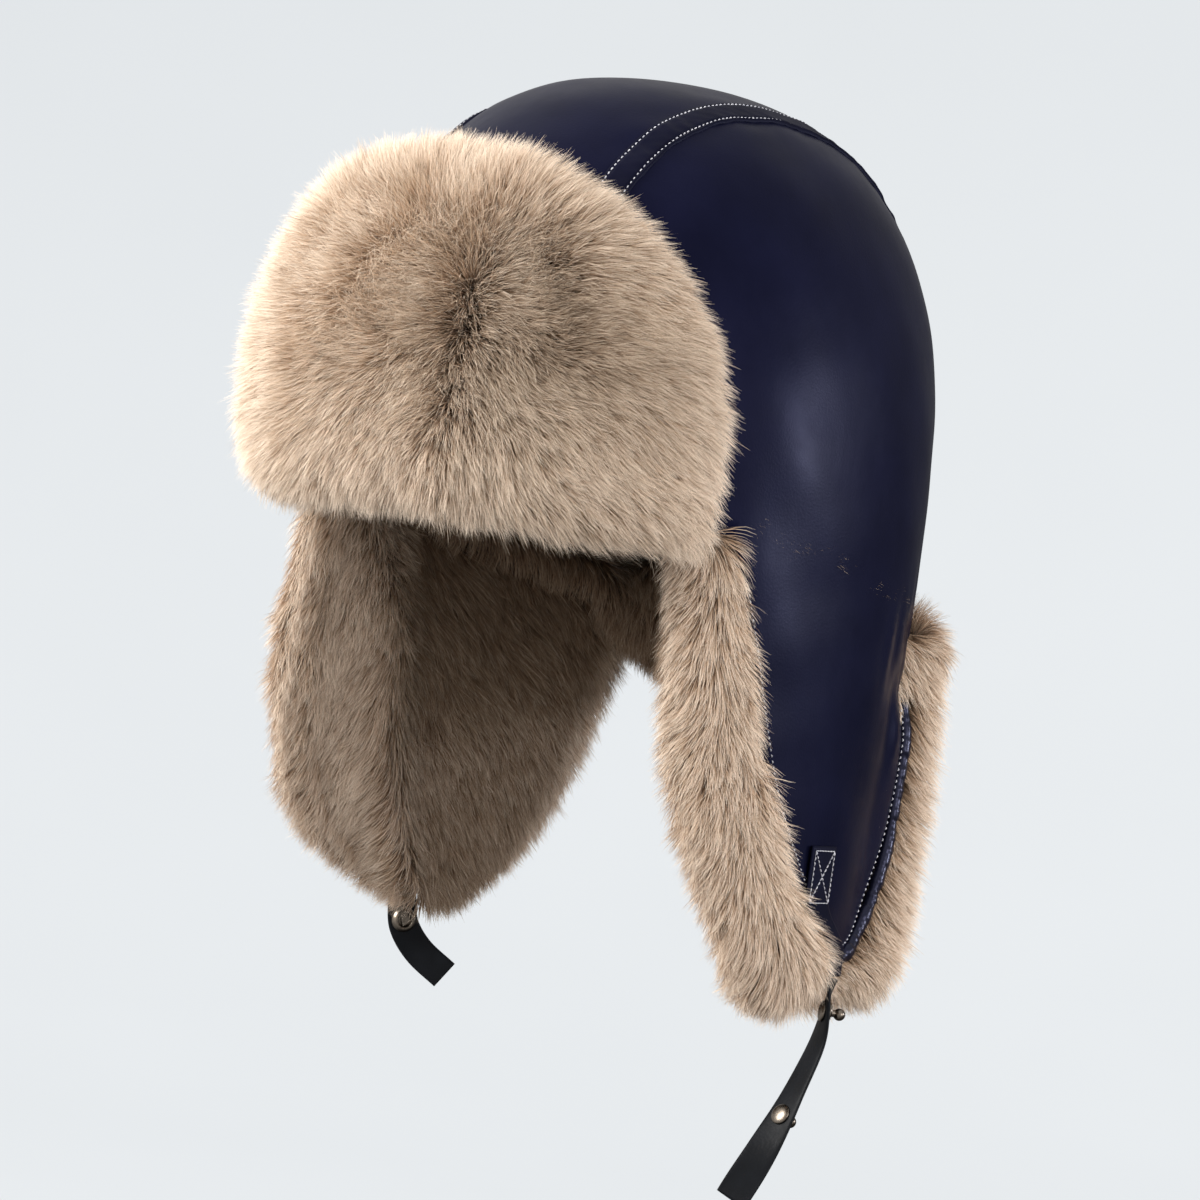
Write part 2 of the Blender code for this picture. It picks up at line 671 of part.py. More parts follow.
def stud_profile():
    """A flat foot, a narrow neck and a ball."""
    foot_radius, foot_height, neck_radius, neck_height = 3.6, 0.9, 1.3, 1.7
    ball = SNAP_BALL_RADIUS / MM
    start = math.asin(neck_radius / ball)
    middle = neck_height + ball * math.cos(start)
    arc = [(ball * math.sin(a), middle + ball * math.cos(a)) for a in spread(0.0, math.pi - start, 7)]
    return arc + [(neck_radius, foot_height), (foot_radius, foot_height * 0.6), (foot_radius, 0.0), (0.0, 0.0)]


def cap_profile(radius, height):
    """A shallow domed cap with a flat foot."""
    arc = [(radius * math.sin(a), height * math.cos(a)) for a in spread(0.0, math.pi / 2, 4)]
    return arc + [(0.0, 0.0)]


def make_snaps():
    for which, place in SNAP_STUD_PLACES.items():
        stud = turned(f"{which}_snap_stud", stud_profile(), 16, METAL)
        place_on_strap(stud, 1, LONG_STRAP_ROUTE, place, 1)
        cap = turned(f"{which}_stud_cap", cap_profile(3.8, 1.4), 16, METAL)
        place_on_strap(cap, 1, LONG_STRAP_ROUTE, place, -1)
    floor, rim, bore, outer = 0.5, 2.2, 2.6, 4.9
    wall = [(0.0, floor), (bore, floor), (bore, rim - 0.5), (bore + 0.5, rim), (outer - 1.0, rim)]
    wall += [(outer, rim * 0.45), (outer, 0.0), (0.0, 0.0)]
    socket = turned("snap_socket", wall, 24, METAL)
    place_on_strap(socket, -1, SHORT_STRAP_ROUTE, SNAP_SOCKET_PLACE, -1)
    cap = turned("socket_cap", cap_profile(5.4, 1.8), 24, METAL)
    place_on_strap(cap, -1, SHORT_STRAP_ROUTE, SNAP_SOCKET_PLACE, 1)
    wire_radius, wire_height, wire_half, wire_bow = 0.3, 1.1, 2.0, 1.1
    points = [Vector((wire_bow, y, wire_height)) * MM for y in spread(-wire_half, wire_half, 4)]
    spring = make_tube("socket_spring", points, wire_radius * MM, METAL)
    place_on_strap(spring, -1, SHORT_STRAP_ROUTE, SNAP_SOCKET_PLACE, -1)


def splay_right_flap():
    pivot, along = fold_axis()
    pivot.x, along.x = -pivot.x, -along.x
    turn = Matrix.Rotation(math.radians(RIGHT_FLAP_SPLAY), 4, along)
    swing = Matrix.Translation(pivot) @ turn @ Matrix.Translation(-pivot)
    top = strap_frame(-1, SHORT_STRAP_ROUTE, 0.0)[0]
    for names, move in ((RIGHT_FLAP_PARTS, swing), (RIGHT_STRAP_PARTS, Matrix.Translation(swing @ top - top))):
        for name in names:
            piece = bpy.data.objects[name]
            piece.matrix_world = move @ piece.matrix_world


def main():
    clear_scene()
    make_centre_panel()
    make_crown_inside()
    make_nape_fur()
    make_nape_hem()
    make_brim()
    for side, hand in (("left", 1), ("right", -1)):
        make_side_panel(f"crown_{side}_side_panel", hand)
        make_seam_band(f"crown_{side}_seam_band", hand)
        make_flap(side, hand)
    make_strap("left_strap", 1, LONG_STRAP_ROUTE)
    make_strap("right_strap", -1, SHORT_STRAP_ROUTE)
    make_snaps()
    splay_right_flap()


main()
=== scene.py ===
"""Looks of the trapper hat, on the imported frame.  Lengths are in metres, angles in degrees.

The hat faces -Y and the wearer's left is +X.  Every surface follows one shell function,
head_points(); the leather, seams, stitches, straps, pads and pile are all laid out from it.
"""
import json
import math

import bpy
import numpy as np
from mathutils import Matrix, Vector, kdtree

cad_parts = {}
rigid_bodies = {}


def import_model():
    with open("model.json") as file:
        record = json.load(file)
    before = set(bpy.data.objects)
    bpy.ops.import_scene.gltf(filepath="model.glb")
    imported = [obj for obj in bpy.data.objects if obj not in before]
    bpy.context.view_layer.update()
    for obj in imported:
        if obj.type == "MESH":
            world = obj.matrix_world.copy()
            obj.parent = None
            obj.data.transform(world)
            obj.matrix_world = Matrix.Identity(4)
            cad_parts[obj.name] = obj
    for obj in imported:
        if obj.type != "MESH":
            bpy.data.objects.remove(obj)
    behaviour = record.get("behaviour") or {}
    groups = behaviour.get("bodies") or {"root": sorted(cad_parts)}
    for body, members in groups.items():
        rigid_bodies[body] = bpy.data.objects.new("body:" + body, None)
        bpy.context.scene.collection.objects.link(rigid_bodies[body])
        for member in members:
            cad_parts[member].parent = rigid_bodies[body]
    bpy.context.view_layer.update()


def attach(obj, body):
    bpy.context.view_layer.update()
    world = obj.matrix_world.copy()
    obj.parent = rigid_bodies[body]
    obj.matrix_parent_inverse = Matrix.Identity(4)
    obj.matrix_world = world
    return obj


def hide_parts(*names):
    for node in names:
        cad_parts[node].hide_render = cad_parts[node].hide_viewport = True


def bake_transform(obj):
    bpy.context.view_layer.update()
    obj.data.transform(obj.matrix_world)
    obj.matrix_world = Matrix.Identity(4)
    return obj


MM = 0.001
UP = np.array([0.0, 0.0, 1.0])

# The shell, as in the CAD.
HALF_WIDTH = 97.5 * MM
HALF_LENGTH = 126.0 * MM
CROWN_HEIGHT = 162.0 * MM
PLAN_POWER = 2.15
DOME_POWER = 2.6
TOP_SET_BACK = 4.0 * MM
SKIRT_PER_RADIAN = 260.0 * MM
FRONT_EDGE = 2.0 * MM
FOLD_FRONT_ANGLE = 67.0
FOLD_REAR_ANGLE = 131.0
FOLD_REAR_Z = -24.0 * MM
NAPE_EDGE = -17.0 * MM
NAPE_RISE_ANGLE = 18.0
SEAM_X = 46.0 * MM
BAND_HALF_WIDTH = 4.7 * MM
SEAM_STITCH_ROWS = (-0.74, 0.72)
FLAP_OUTLINE = [
    (66, 2), (73, -36), (82, -84), (95, -127), (105.5, -141),
    (115, -131), (122.5, -100), (126, -68), (131, -24),
]
FLAP_MM_PER_DEGREE = 1.85
FLAP_FLARE = 4.0 * MM
BRIM_HALF_ANGLES = (55.0, 57.5)
BRIM_BOTTOM = 4.0 * MM
BRIM_END_DROP = 10.0 * MM
BRIM_END_TOP = 22.0 * MM
BRIM_TOP = 112.0 * MM
BRIM_CORNER_POWER = 2.3
BRIM_CORNER_LIFT = (32.0 * MM, 7.0 * MM)
BRIM_BACK = -7.4 * MM
BRIM_PAD = 13.0 * MM

# The rolls of pile outside a flap's edges, in mm: growth beyond the leather, inset, half
# width and half height, at the fold, along the edge and at the tip.
FRONT_ROLL = [(8, 5, 6, 5), (17, -1.2, 11, 7), (8, 11, 5.5, 4.5)]
REAR_ROLL = [(6, 4, 5, 5), (14, -0.5, 8, 7.5), (8, 11, 5.5, 4.5)]
RIGHT_FRONT_ROLL = [(9, 3, 6, 5), (12, -1.0, 9, 6.5), (2, 10, 4, 4.5)]
RIGHT_REAR_ROLL = [(6, 4, 5, 5), (9, 0, 6, 6), (2, 10, 4, 4.5)]
TUCK = {1: (0.77, 0.94), -1: (0.50, 0.92)}

# The right flap rests swung out a little about its fold; its strap hangs straight down.
RIGHT_FLAP_SPLAY = 8.0
FOLD_AXIS_OUT = 0.5 * MM
FOLD_AXIS_DROP = 0.6 * MM
FOLD_DEPTH = 10 * MM
RIGHT_FLAP_PIECES = ("right_flap_rolled_hem", "right_flap_topstitch", "right_flap_fur_pad",
                     "right_flap_pile", "right_strap_sewn_end", "right_box_stitch")
RIGHT_STRAP_PIECES = ("short_chin_strap", "snap_socket_ring", "socket_back", "socket_wire")

# Straps: (toward the face centre, toward the back, down, twist) along each route.
STRAP_WIDTH = 12.0 * MM
STRAP_THICKNESS = 1.6 * MM
STRAP_TOP = -147.0 * MM
STRAP_ANGLE = 105.5
ANCHOR_INSET = -1.4 * MM
ANCHOR_TOP = -100.0 * MM
ANCHOR_BEND = -136.0 * MM
BOX_ANGLE = 96.5
LONG_STRAP_ROUTE = [
    (0, 0, 0, 0), (0, -1, 8, 22), (1, -3, 24, 45), (3, -11, 44, 58), (5, -19, 60, 80), (8, -31, 80, 115),
]
SHORT_STRAP_ROUTE = [(0, 0, 0, 0), (0, 1, 9, 10), (1, 3, 18, 18), (5, 9, 27, 24), (13, 17, 35, 28)]
SNAP_GAP = 0.8 * MM
SNAP_STUD_PLACES = {"upper": 0.26, "lower": 0.67}
SNAP_SOCKET_PLACE = 0.42

STITCH_PITCH = 2.2 * MM
STITCH_LENGTH = 1.35 * MM
THREAD_RADIUS = 0.24 * MM
THREAD_LIFT = 0.05 * MM

LINING_INSET = 9.6 * MM

# A flap's edge: where round its outline the rear half of its hem takes over from the front
# half, and how its leather rolls in under the hem.
REAR_HALF = (0.48, 0.60)
EDGE_CURL_WIDTH = 5.0 * MM
EDGE_CURL_DEPTH = 2.6 * MM

# The parts of a flap pad's section, and how far its back lies inside the shell, in mm.
HIDDEN, FACE, REAR, FRONT = range(4)
PAD_BACK = 7.6

# The patch that the brim's pile parts round, whose pile is painted darker as painted shade:
# middle and spread in degrees round the head, the same in mm up, and the swirl in it in degrees.
WHORL_DEGREES, WHORL_WIDTH = 27, 23
WHORL_HEIGHT, WHORL_DEPTH = 58, 34
WHORL_SWIRL = 24

# How far the brim's pile leans sideways and up or down, from what height, and at most.
BRIM_COMB = (68, 62)
BRIM_COMB_CENTRE = 84
MOST_LEAN = 66.0

# Pile: strand lengths, width, segments and strands to a clump.
BRIM_PILE_LENGTH = 16.5 * MM
FLAP_PILE_LENGTH = 14.5 * MM
NAPE_PILE_LENGTH = 13.0 * MM
STRAND_WIDTH = 0.30 * MM
STRAND_SEGMENTS = 4
STRANDS_PER_CLUMP = 9
STRAND_UV = "OFBake"

# Strands in one piece: eight triangles each, which keeps a piece under 200,000 triangles.
STRANDS_PER_PIECE = 24000

CAMERA = {
    "azimuth": 38.94, "elevation": 0.20, "roll": 8.15, "distance": 1.33375,
    "target": (0.0014, -0.0065, -0.0259), "lens": 110.6,
}


# --- numbers ------------------------------------------------------------------------------

def power(value, exponent):
    """A power that keeps the sign of its base."""
    return np.sign(value) * np.abs(value) ** exponent


def unit(vectors):
    return vectors / np.maximum(np.linalg.norm(vectors, axis=-1, keepdims=True), 1e-12)


def dot(a, b):
    return np.sum(a * b, axis=-1, keepdims=True)


def smooth_step(value, low, high):
    t = np.clip((value - low) / (high - low), 0.0, 1.0)
    return t * t * (3 - 2 * t)


def smooth_path(points, place):
    """Points on the Catmull-Rom curve through the given ones, place running from 0 to 1."""
    points = np.asarray(points, float)
    ends = [2 * points[0] - points[1]], [2 * points[-1] - points[-2]]
    points = np.concatenate([ends[0], points, ends[1]])
    span = np.clip(np.asarray(place, float), 0.0, 1.0) * (len(points) - 3)
    index = np.minimum(span.astype(int), len(points) - 4)
    t = (span - index).reshape(span.shape + (1,) * (points.ndim - 1))
    p0, p1, p2, p3 = (points[index + k] for k in range(4))
    bend = 2 * p0 - 5 * p1 + 4 * p2 - p3
    twist = 3 * p1 - p0 - 3 * p2 + p3
    return p1 + 0.5 * (t * (p2 - p0) + t * t * bend + t ** 3 * twist)


def ripple(points, wavelength, seed, waves=7):
    """Smooth noise over points in space, mostly between -1 and 1."""
    rng = np.random.default_rng(seed)
    total = np.zeros(points.shape[:-1])
    for _ in range(waves):
        direction = unit(rng.normal(size=3)) * 2 * np.pi / (wavelength * rng.uniform(0.7, 1.5))
        total += np.sin(points @ direction + rng.uniform(0, 2 * np.pi))
    return total / math.sqrt(2 * waves)


# --- the shell ----------------------------------------------------------------------------

def head_points(degrees, z, inset=0.0):
    """Points on the hat at angles round from the front (left positive) and heights."""
    angle = np.radians(degrees)
    rise = np.clip(z / (CROWN_HEIGHT - inset), 0.0, 1.0)
    shrink = (1.0 - rise ** DOME_POWER) ** (1.0 / DOME_POWER)
    x = (HALF_WIDTH - inset) * shrink * power(np.sin(angle), 2 / PLAN_POWER)
    y = -(HALF_LENGTH - inset) * shrink * power(np.cos(angle), 2 / PLAN_POWER)
    y = y + TOP_SET_BACK * rise ** 1.5
    return np.stack(np.broadcast_arrays(x, y, z), axis=-1)


def level(station, inset=0.0):
    """The height at a station: an angle up the dome, or a length down the skirt when negative."""
    up = np.clip(station, 0.0, np.pi / 2)
    return np.where(station < 0, station * SKIRT_PER_RADIAN,
                    (CROWN_HEIGHT - inset) * np.sin(up) ** (2 / DOME_POWER))


def station_of(z):
    """The station of a height, the inverse of level on the middle section."""
    rise = np.clip(z / CROWN_HEIGHT, 0.0, 1.0)
    return np.where(z < 0, z / SKIRT_PER_RADIAN, np.arcsin(rise ** (DOME_POWER / 2)))


def over_points(x, side, station, inset=0.0):
    """Points on the fore-and-aft section at x; side is -1 in front and 1 behind."""
    half_width, half_length = HALF_WIDTH - inset, HALF_LENGTH - inset
    reach = half_length * (1 - (np.abs(x) / half_width) ** PLAN_POWER) ** (1 / PLAN_POWER)
    up = np.clip(station, 0.0, np.pi / 2)
    y = side * reach * np.cos(up) ** (2 / DOME_POWER)
    radius = (np.abs(x) / half_width) ** PLAN_POWER + (np.abs(y) / half_length) ** PLAN_POWER
    rise = (1 - np.clip(radius ** (1 / PLAN_POWER), 0, 1) ** DOME_POWER) ** (1 / DOME_POWER)
    z = np.where(station < 0, station * SKIRT_PER_RADIAN, (CROWN_HEIGHT - inset) * rise)
    y = y + np.where(station < 0, 0.0, TOP_SET_BACK * rise ** 1.5)
    return np.stack(np.broadcast_arrays(x, y, z), axis=-1)


def outward(points):
    """Unit vectors straight out of the shell."""
    x, y, z = points[..., 0], points[..., 1], np.clip(points[..., 2], 0.0, None)
    y = y - TOP_SET_BACK * np.clip(z / CROWN_HEIGHT, 0, 1) ** 1.5
    across, along = np.abs(x) / HALF_WIDTH, np.abs(y) / HALF_LENGTH
    radius = np.maximum(across ** PLAN_POWER + along ** PLAN_POWER, 1e-9)
    ring = radius ** (DOME_POWER / PLAN_POWER - 1)
    gx = ring * np.sign(x) * across ** (PLAN_POWER - 1) / HALF_WIDTH
    gy = ring * np.sign(y) * along ** (PLAN_POWER - 1) / HALF_LENGTH
    gz = (z / CROWN_HEIGHT) ** (DOME_POWER - 1) / CROWN_HEIGHT
    return unit(np.stack([gx, gy, gz], axis=-1))


def round_the_head(points):
    """Level unit vectors along the shell, the way angles grow."""
    out = outward(points)
    return unit(np.stack([-out[..., 1], out[..., 0], 0 * out[..., 2]], -1))


def fold_plane():
    """A point on the left fold plane, its level direction toward the back and its slope."""
    front = head_points(FOLD_FRONT_ANGLE, FRONT_EDGE)
    rear = head_points(FOLD_REAR_ANGLE, FOLD_REAR_Z)
    along = (rear - front)[:2]
    return front, unit(along), (rear - front)[2] / np.linalg.norm(along)


def fold_height(degrees, inset=0.0):
    """The height of a flap's fold, which slants down to the back."""
    front, along, slope = fold_plane()
    here = head_points(np.abs(degrees), np.zeros_like(degrees), inset)
    offset = (here[..., :2] - front[:2]) @ along
    return np.minimum(front[2] + slope * offset, FRONT_EDGE)


def nape_height(degrees):
    """The height of the crown's edge behind the flaps."""
    t = np.clip((np.abs(degrees) - FOLD_REAR_ANGLE) / NAPE_RISE_ANGLE, 0.0, 1.0)
    return FOLD_REAR_Z + (NAPE_EDGE - FOLD_REAR_Z) * np.sin(t * np.pi / 2)


def crown_edge(degrees, inset=0.0):
    """The height of the crown's lower edge beside and behind the head."""
    behind = np.abs(degrees) > FOLD_REAR_ANGLE
    return np.where(behind, nape_height(degrees), fold_height(degrees, inset))


def flap_outline(place, growth=0.0):
    """(degrees, height) on the flap's free edge, moved outward by growth millimetres."""
    def flat(at):
        return smooth_path(FLAP_OUTLINE, at) * (FLAP_MM_PER_DEGREE, 1.0)

    step = 0.01
    run = unit(flat(place + step) - flat(place - step))
    aside, down = growth * run[..., 1], -growth * run[..., 0]
    point = flat(place)
    return (point[..., 0] + aside) / FLAP_MM_PER_DEGREE, (point[..., 1] + down) * MM


def flap_points(hand, down, across, inset=0.0, growth=0.0):
    """Points on a flap: down runs from the fold to the tip, across from front to rear."""
    front, rear = flap_outline(down / 2, growth), flap_outline(1 - down / 2, growth)
    degrees = front[0] + (rear[0] - front[0]) * across
    z = front[1] + (rear[1] - front[1]) * across
    z = z + (fold_height(degrees, inset) - z) * (1 - down) ** 6
    return head_points(hand * degrees, z, inset)


def flap_degrees(down, across):
    """Angles round the head of the points that flap_points gives."""
    front, rear = flap_outline(down / 2)[0], flap_outline(1 - down / 2)[0]
    return front + (rear - front) * across


def brim_points(across, up, inset, shrink=0.0):
    """Points over the brim: across from -1 to 1, up from 0 to 1."""
    half_angle = np.where(across < 0, *BRIM_HALF_ANGLES) - math.degrees(shrink / HALF_LENGTH)
    bottom = BRIM_BOTTOM - BRIM_END_DROP * across ** 2 + shrink
    bottom = bottom + np.where(across < 0, BRIM_CORNER_LIFT[0] * smooth_step(-across, 0.45, 1.0),
                               BRIM_CORNER_LIFT[1] * smooth_step(across, 0.75, 1.05))
    rise = (1 - np.clip(np.abs(across), 0, 1) ** BRIM_CORNER_POWER) ** (1 / BRIM_CORNER_POWER)
    top = BRIM_END_TOP + (BRIM_TOP - BRIM_END_TOP) * rise - shrink
    return head_points(half_angle * across, bottom + (top - bottom) * up, inset)


def slump(points):
    """How far the leather stands out: soft dents, and puckers by the seams and at the rear."""
    dents = 0.55 * ripple(points, 75 * MM, 11) + 0.25 * ripple(points, 34 * MM, 12)
    x, y, z = points[..., 0], points[..., 1], points[..., 2]
    dents = dents + 0.42 * ripple(points, 13 * MM, 14) * np.exp(-((np.abs(x) - SEAM_X) / (11 * MM)) ** 2)
    rear = smooth_step(y, 35 * MM, 70 * MM) * smooth_step(-z, -5 * MM, 25 * MM)
    rear = rear * smooth_step(z, -85 * MM, -50 * MM)
    squeezed = points * (1.0, 1.0, 0.35)
    return (dents + 0.9 * rear * ripple(squeezed, 11 * MM, 13)) * MM


def relax(points, lift=0.0):
    """Move points on the shell out to where the leather really lies, and lift them off it."""
    return points + outward(points) * (slump(points) + lift)[..., None]


# --- meshes from arrays -------------------------------------------------------------------

def link(name, data, material, body):
    """An object in the scene, riding on a body of the CAD unless body is None, with its slot."""
    piece = bpy.data.objects.new(name, data)
    data.materials.append(material)
    bpy.context.scene.collection.objects.link(piece)
    if body:
        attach(piece, body)
    return piece


def grid_faces(rows, columns, ring=False):
    """Four corners of each cell of a grid; ring joins the last column to the first."""
    last = columns if ring else columns - 1
    i, j = np.meshgrid(np.arange(rows - 1), np.arange(last), indexing="ij")
    k = (j + 1) % columns
    return np.stack([i * columns + j, i * columns + k, (i + 1) * columns + k, (i + 1) * columns + j], -1)


def mesh_of(name, points, faces):
    mesh = bpy.data.meshes.new(name)
    mesh.from_pydata(np.asarray(points).reshape(-1, 3).tolist(), [], [list(map(int, f)) for f in faces])
    mesh.update()
    mesh.shade_smooth()
    return mesh


def grid_mesh(name, points, flip=False, ring=False, capped=False):
    """A smooth mesh over a grid of points; capped closes the two ends of a ring grid."""
    rows, columns = points.shape[:2]
    faces = grid_faces(rows, columns, ring).reshape(-1, 4)
    faces = [face[::-1] if flip else face for face in faces]
    if capped:
        ends = [list(range(columns))[::-1], list(range((rows - 1) * columns, rows * columns))]
        faces += [end[::-1] if flip else end for end in ends]
    return mesh_of(name, points, faces)


def skin(name, points, material, body, slot, *nodes, **grid):
    """A piece whose mesh covers a grid of points and takes the place of CAD nodes."""
    piece = link(name, grid_mesh(name, points, **grid), material, body)
    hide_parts(*nodes)
    return piece


def tube_points(path, out, wide, deep, sides=14):
    """Rings round a path: wide is the half width along the surface, deep across it."""
    run = unit(np.gradient(path, axis=0))
    across = unit(np.cross(run, out))
    lift = np.cross(across, run)
    turn = np.linspace(0, 2 * np.pi, sides, endpoint=False)
    ring = across[:, None] * (np.cos(turn)[:, None] * wide[:, None, None])
    return path[:, None] + ring + lift[:, None] * (np.sin(turn)[:, None] * deep[:, None, None])


def along_path(path, spacing):
    """Evenly spaced places along a dense path: positions and directions."""
    steps = np.linalg.norm(np.diff(path, axis=0), axis=1)
    travelled = np.concatenate([[0], np.cumsum(steps)])
    count = max(int(travelled[-1] / spacing), 1)
    places = (np.arange(count) + 0.5) * travelled[-1] / count
    spots = np.stack([np.interp(places, travelled, path[:, k]) for k in range(3)], axis=-1)
    ahead = np.stack([np.interp(places + spacing / 4, travelled, path[:, k]) for k in range(3)], axis=-1)
    return spots, unit(ahead - spots)


def stitch_mesh(name, paths, pitch=STITCH_PITCH, length=STITCH_LENGTH, radius=THREAD_RADIUS):
    """Short rounded threads along paths, each one a little arch with its ends sunk in."""
    sides, rings = 6, 5
    t = np.linspace(-1, 1, rings)
    turn = np.linspace(0, 2 * np.pi, sides, endpoint=False)
    points = []
    for path in paths:
        spots, run = along_path(path, pitch)
        out = outward(spots)
        across = unit(np.cross(run, out))
        out = np.cross(across, run)
        rng = np.random.default_rng(len(points) + 5)
        run = unit(run + across * rng.normal(0, 0.07, (len(run), 1)))
        middle = spots[:, None] + run[:, None] * (t * length / 2)[:, None]
        middle = middle + out[:, None] * (radius * (0.7 - 1.3 * t ** 2))[:, None]
        thick = radius * np.sqrt(1.06 - t ** 2)
        ring = across[:, None] * np.cos(turn)[:, None] + out[:, None] * np.sin(turn)[:, None]
        points.append((middle[:, :, None] + ring[:, None] * thick[:, None, None]).reshape(-1, 3))
    points = np.concatenate(points)
    one = grid_faces(rings, sides, ring=True).reshape(-1, 4)
    count = len(points) // (rings * sides)
    faces = (one[None] + (np.arange(count) * rings * sides)[:, None, None]).reshape(-1, 4)
    return mesh_of(name, points, faces)


def weld_shading(first, second):
    """Give two pieces that meet along a shared edge the same normals there."""
    meshes = (first.data, second.data)
    normals, places = [], {}
    for which, mesh in enumerate(meshes):
        flat = np.empty(len(mesh.vertices) * 3, np.float32)
        mesh.vertex_normals.foreach_get("vector", flat)
        normals.append(flat.reshape(-1, 3).copy())
        mesh.vertices.foreach_get("co", flat)
        for index, key in enumerate(map(tuple, np.round(flat.reshape(-1, 3) / (0.02 * MM)).astype(int))):
            places.setdefault(key, []).append((which, index))
    for spots in places.values():
        if len({which for which, _ in spots}) == 2:
            mean = unit(sum(normals[which][index] for which, index in spots))
            for which, index in spots:
                normals[which][index] = mean
    for mesh, values in zip(meshes, normals):
        mesh.normals_split_custom_set_from_vertices(values.tolist())


# --- materials ----------------------------------------------------------------------------

class Nodes:
    """A small helper that builds a Principled material from named node links."""

    def __init__(self, name, **sockets):
        self.material = bpy.data.materials.new(name)
        self.material.use_nodes = True
        self.tree = self.material.node_tree
        self.shader = self.tree.nodes["Principled BSDF"]
        for socket, value in sockets.items():
            self.shader.inputs[socket.replace("_", " ")].default_value = value
        self.place = self.add("ShaderNodeTexCoord").outputs["Object"]
        self.bump_from = None

    def add(self, kind, **values):
        node = self.tree.nodes.new(kind)
        for key, value in values.items():
            setattr(node, key, value)
        return node

    def wire(self, source, target):
        self.tree.links.new(source, target)

    def noise(self, scale, detail, stretch=None):
        node = self.add("ShaderNodeTexNoise")
        node.inputs["Scale"].default_value = scale
        node.inputs["Detail"].default_value = detail
        place = self.place
        if stretch:
            mapping = self.add("ShaderNodeMapping")
            mapping.inputs["Scale"].default_value = stretch
            self.wire(self.place, mapping.inputs["Vector"])
            place = mapping.outputs["Vector"]
        self.wire(place, node.inputs["Vector"])
        return node.outputs["Fac"]

    def cells(self, scale):
        node = self.add("ShaderNodeTexVoronoi")
        node.inputs["Scale"].default_value = scale
        self.wire(self.place, node.inputs["Vector"])
        return node.outputs["Distance"]

    def ramp(self, source, stops):
        node = self.add("ShaderNodeValToRGB")
        elements = node.color_ramp.elements
        while len(elements) < len(stops):
            elements.new(0.5)
        for element, (position, colour) in zip(elements, stops):
            element.position = position
            element.color = (*colour, 1.0)
        self.wire(source, node.inputs["Fac"])
        return node.outputs["Color"]

    def colour(self, source, stops):
        self.wire(self.ramp(source, stops), self.shader.inputs["Base Color"])

    def roughness(self, source, low, high):
        node = self.add("ShaderNodeMapRange")
        node.inputs["To Min"].default_value = low
        node.inputs["To Max"].default_value = high
        self.wire(source, node.inputs["Value"])
        self.wire(node.outputs["Result"], self.shader.inputs["Roughness"])

    def bump(self, source, height, strength):
        node = self.add("ShaderNodeBump")
        node.inputs["Strength"].default_value = strength
        node.inputs["Distance"].default_value = height
        self.wire(source, node.inputs["Height"])
        if self.bump_from:
            self.wire(self.bump_from, node.inputs["Normal"])
        self.bump_from = node.outputs["Normal"]
        self.wire(self.bump_from, self.shader.inputs["Normal"])


def patterned(name, colours, roughness=None, bumps=(), **sockets):
    """A material whose colour, roughness and relief come from noise.

    colours is (scale, detail, stops); roughness is (scale, detail, low, high); each bump is
    (scale, detail, height in mm, strength) and may end with the noise's stretch.  A bump
    whose detail is None is made of round cells, for leather grain.
    """
    nodes = Nodes(name, **sockets)
    scale, detail, stops = colours
    nodes.colour(nodes.noise(scale, detail), stops)
    if roughness:
        scale, detail, low, high = roughness
        nodes.roughness(nodes.noise(scale, detail), low, high)
    for scale, detail, height, strength, *stretch in bumps:
        relief = nodes.noise(scale, detail, *stretch) if detail else nodes.cells(scale)
        nodes.bump(relief, height * MM, strength)
    return nodes.material


def pile_material(name, root_to_tip, dark_to_light):
    """Fur: its colour runs along each strand, and each strand is lighter or darker, at random and where
    shade is painted.
    """
    nodes = Nodes(name, Roughness=0.62, Specular_IOR_Level=0.22, Sheen_Weight=0.25, Sheen_Roughness=0.45,
                  Sheen_Tint=(0.95, 0.86, 0.76, 1.0))
    uv = nodes.add("ShaderNodeUVMap", uv_map=STRAND_UV)
    split = nodes.add("ShaderNodeSeparateXYZ")
    nodes.wire(uv.outputs["UV"], split.inputs["Vector"])
    mix = nodes.add("ShaderNodeMix", data_type="RGBA", blend_type="MULTIPLY")
    mix.inputs["Factor"].default_value = 1.0
    nodes.wire(nodes.ramp(split.outputs["Y"], root_to_tip), mix.inputs["A"])
    nodes.wire(nodes.ramp(split.outputs["X"], dark_to_light), mix.inputs["B"])
    nodes.wire(mix.outputs["Result"], nodes.shader.inputs["Base Color"])
    return nodes.material


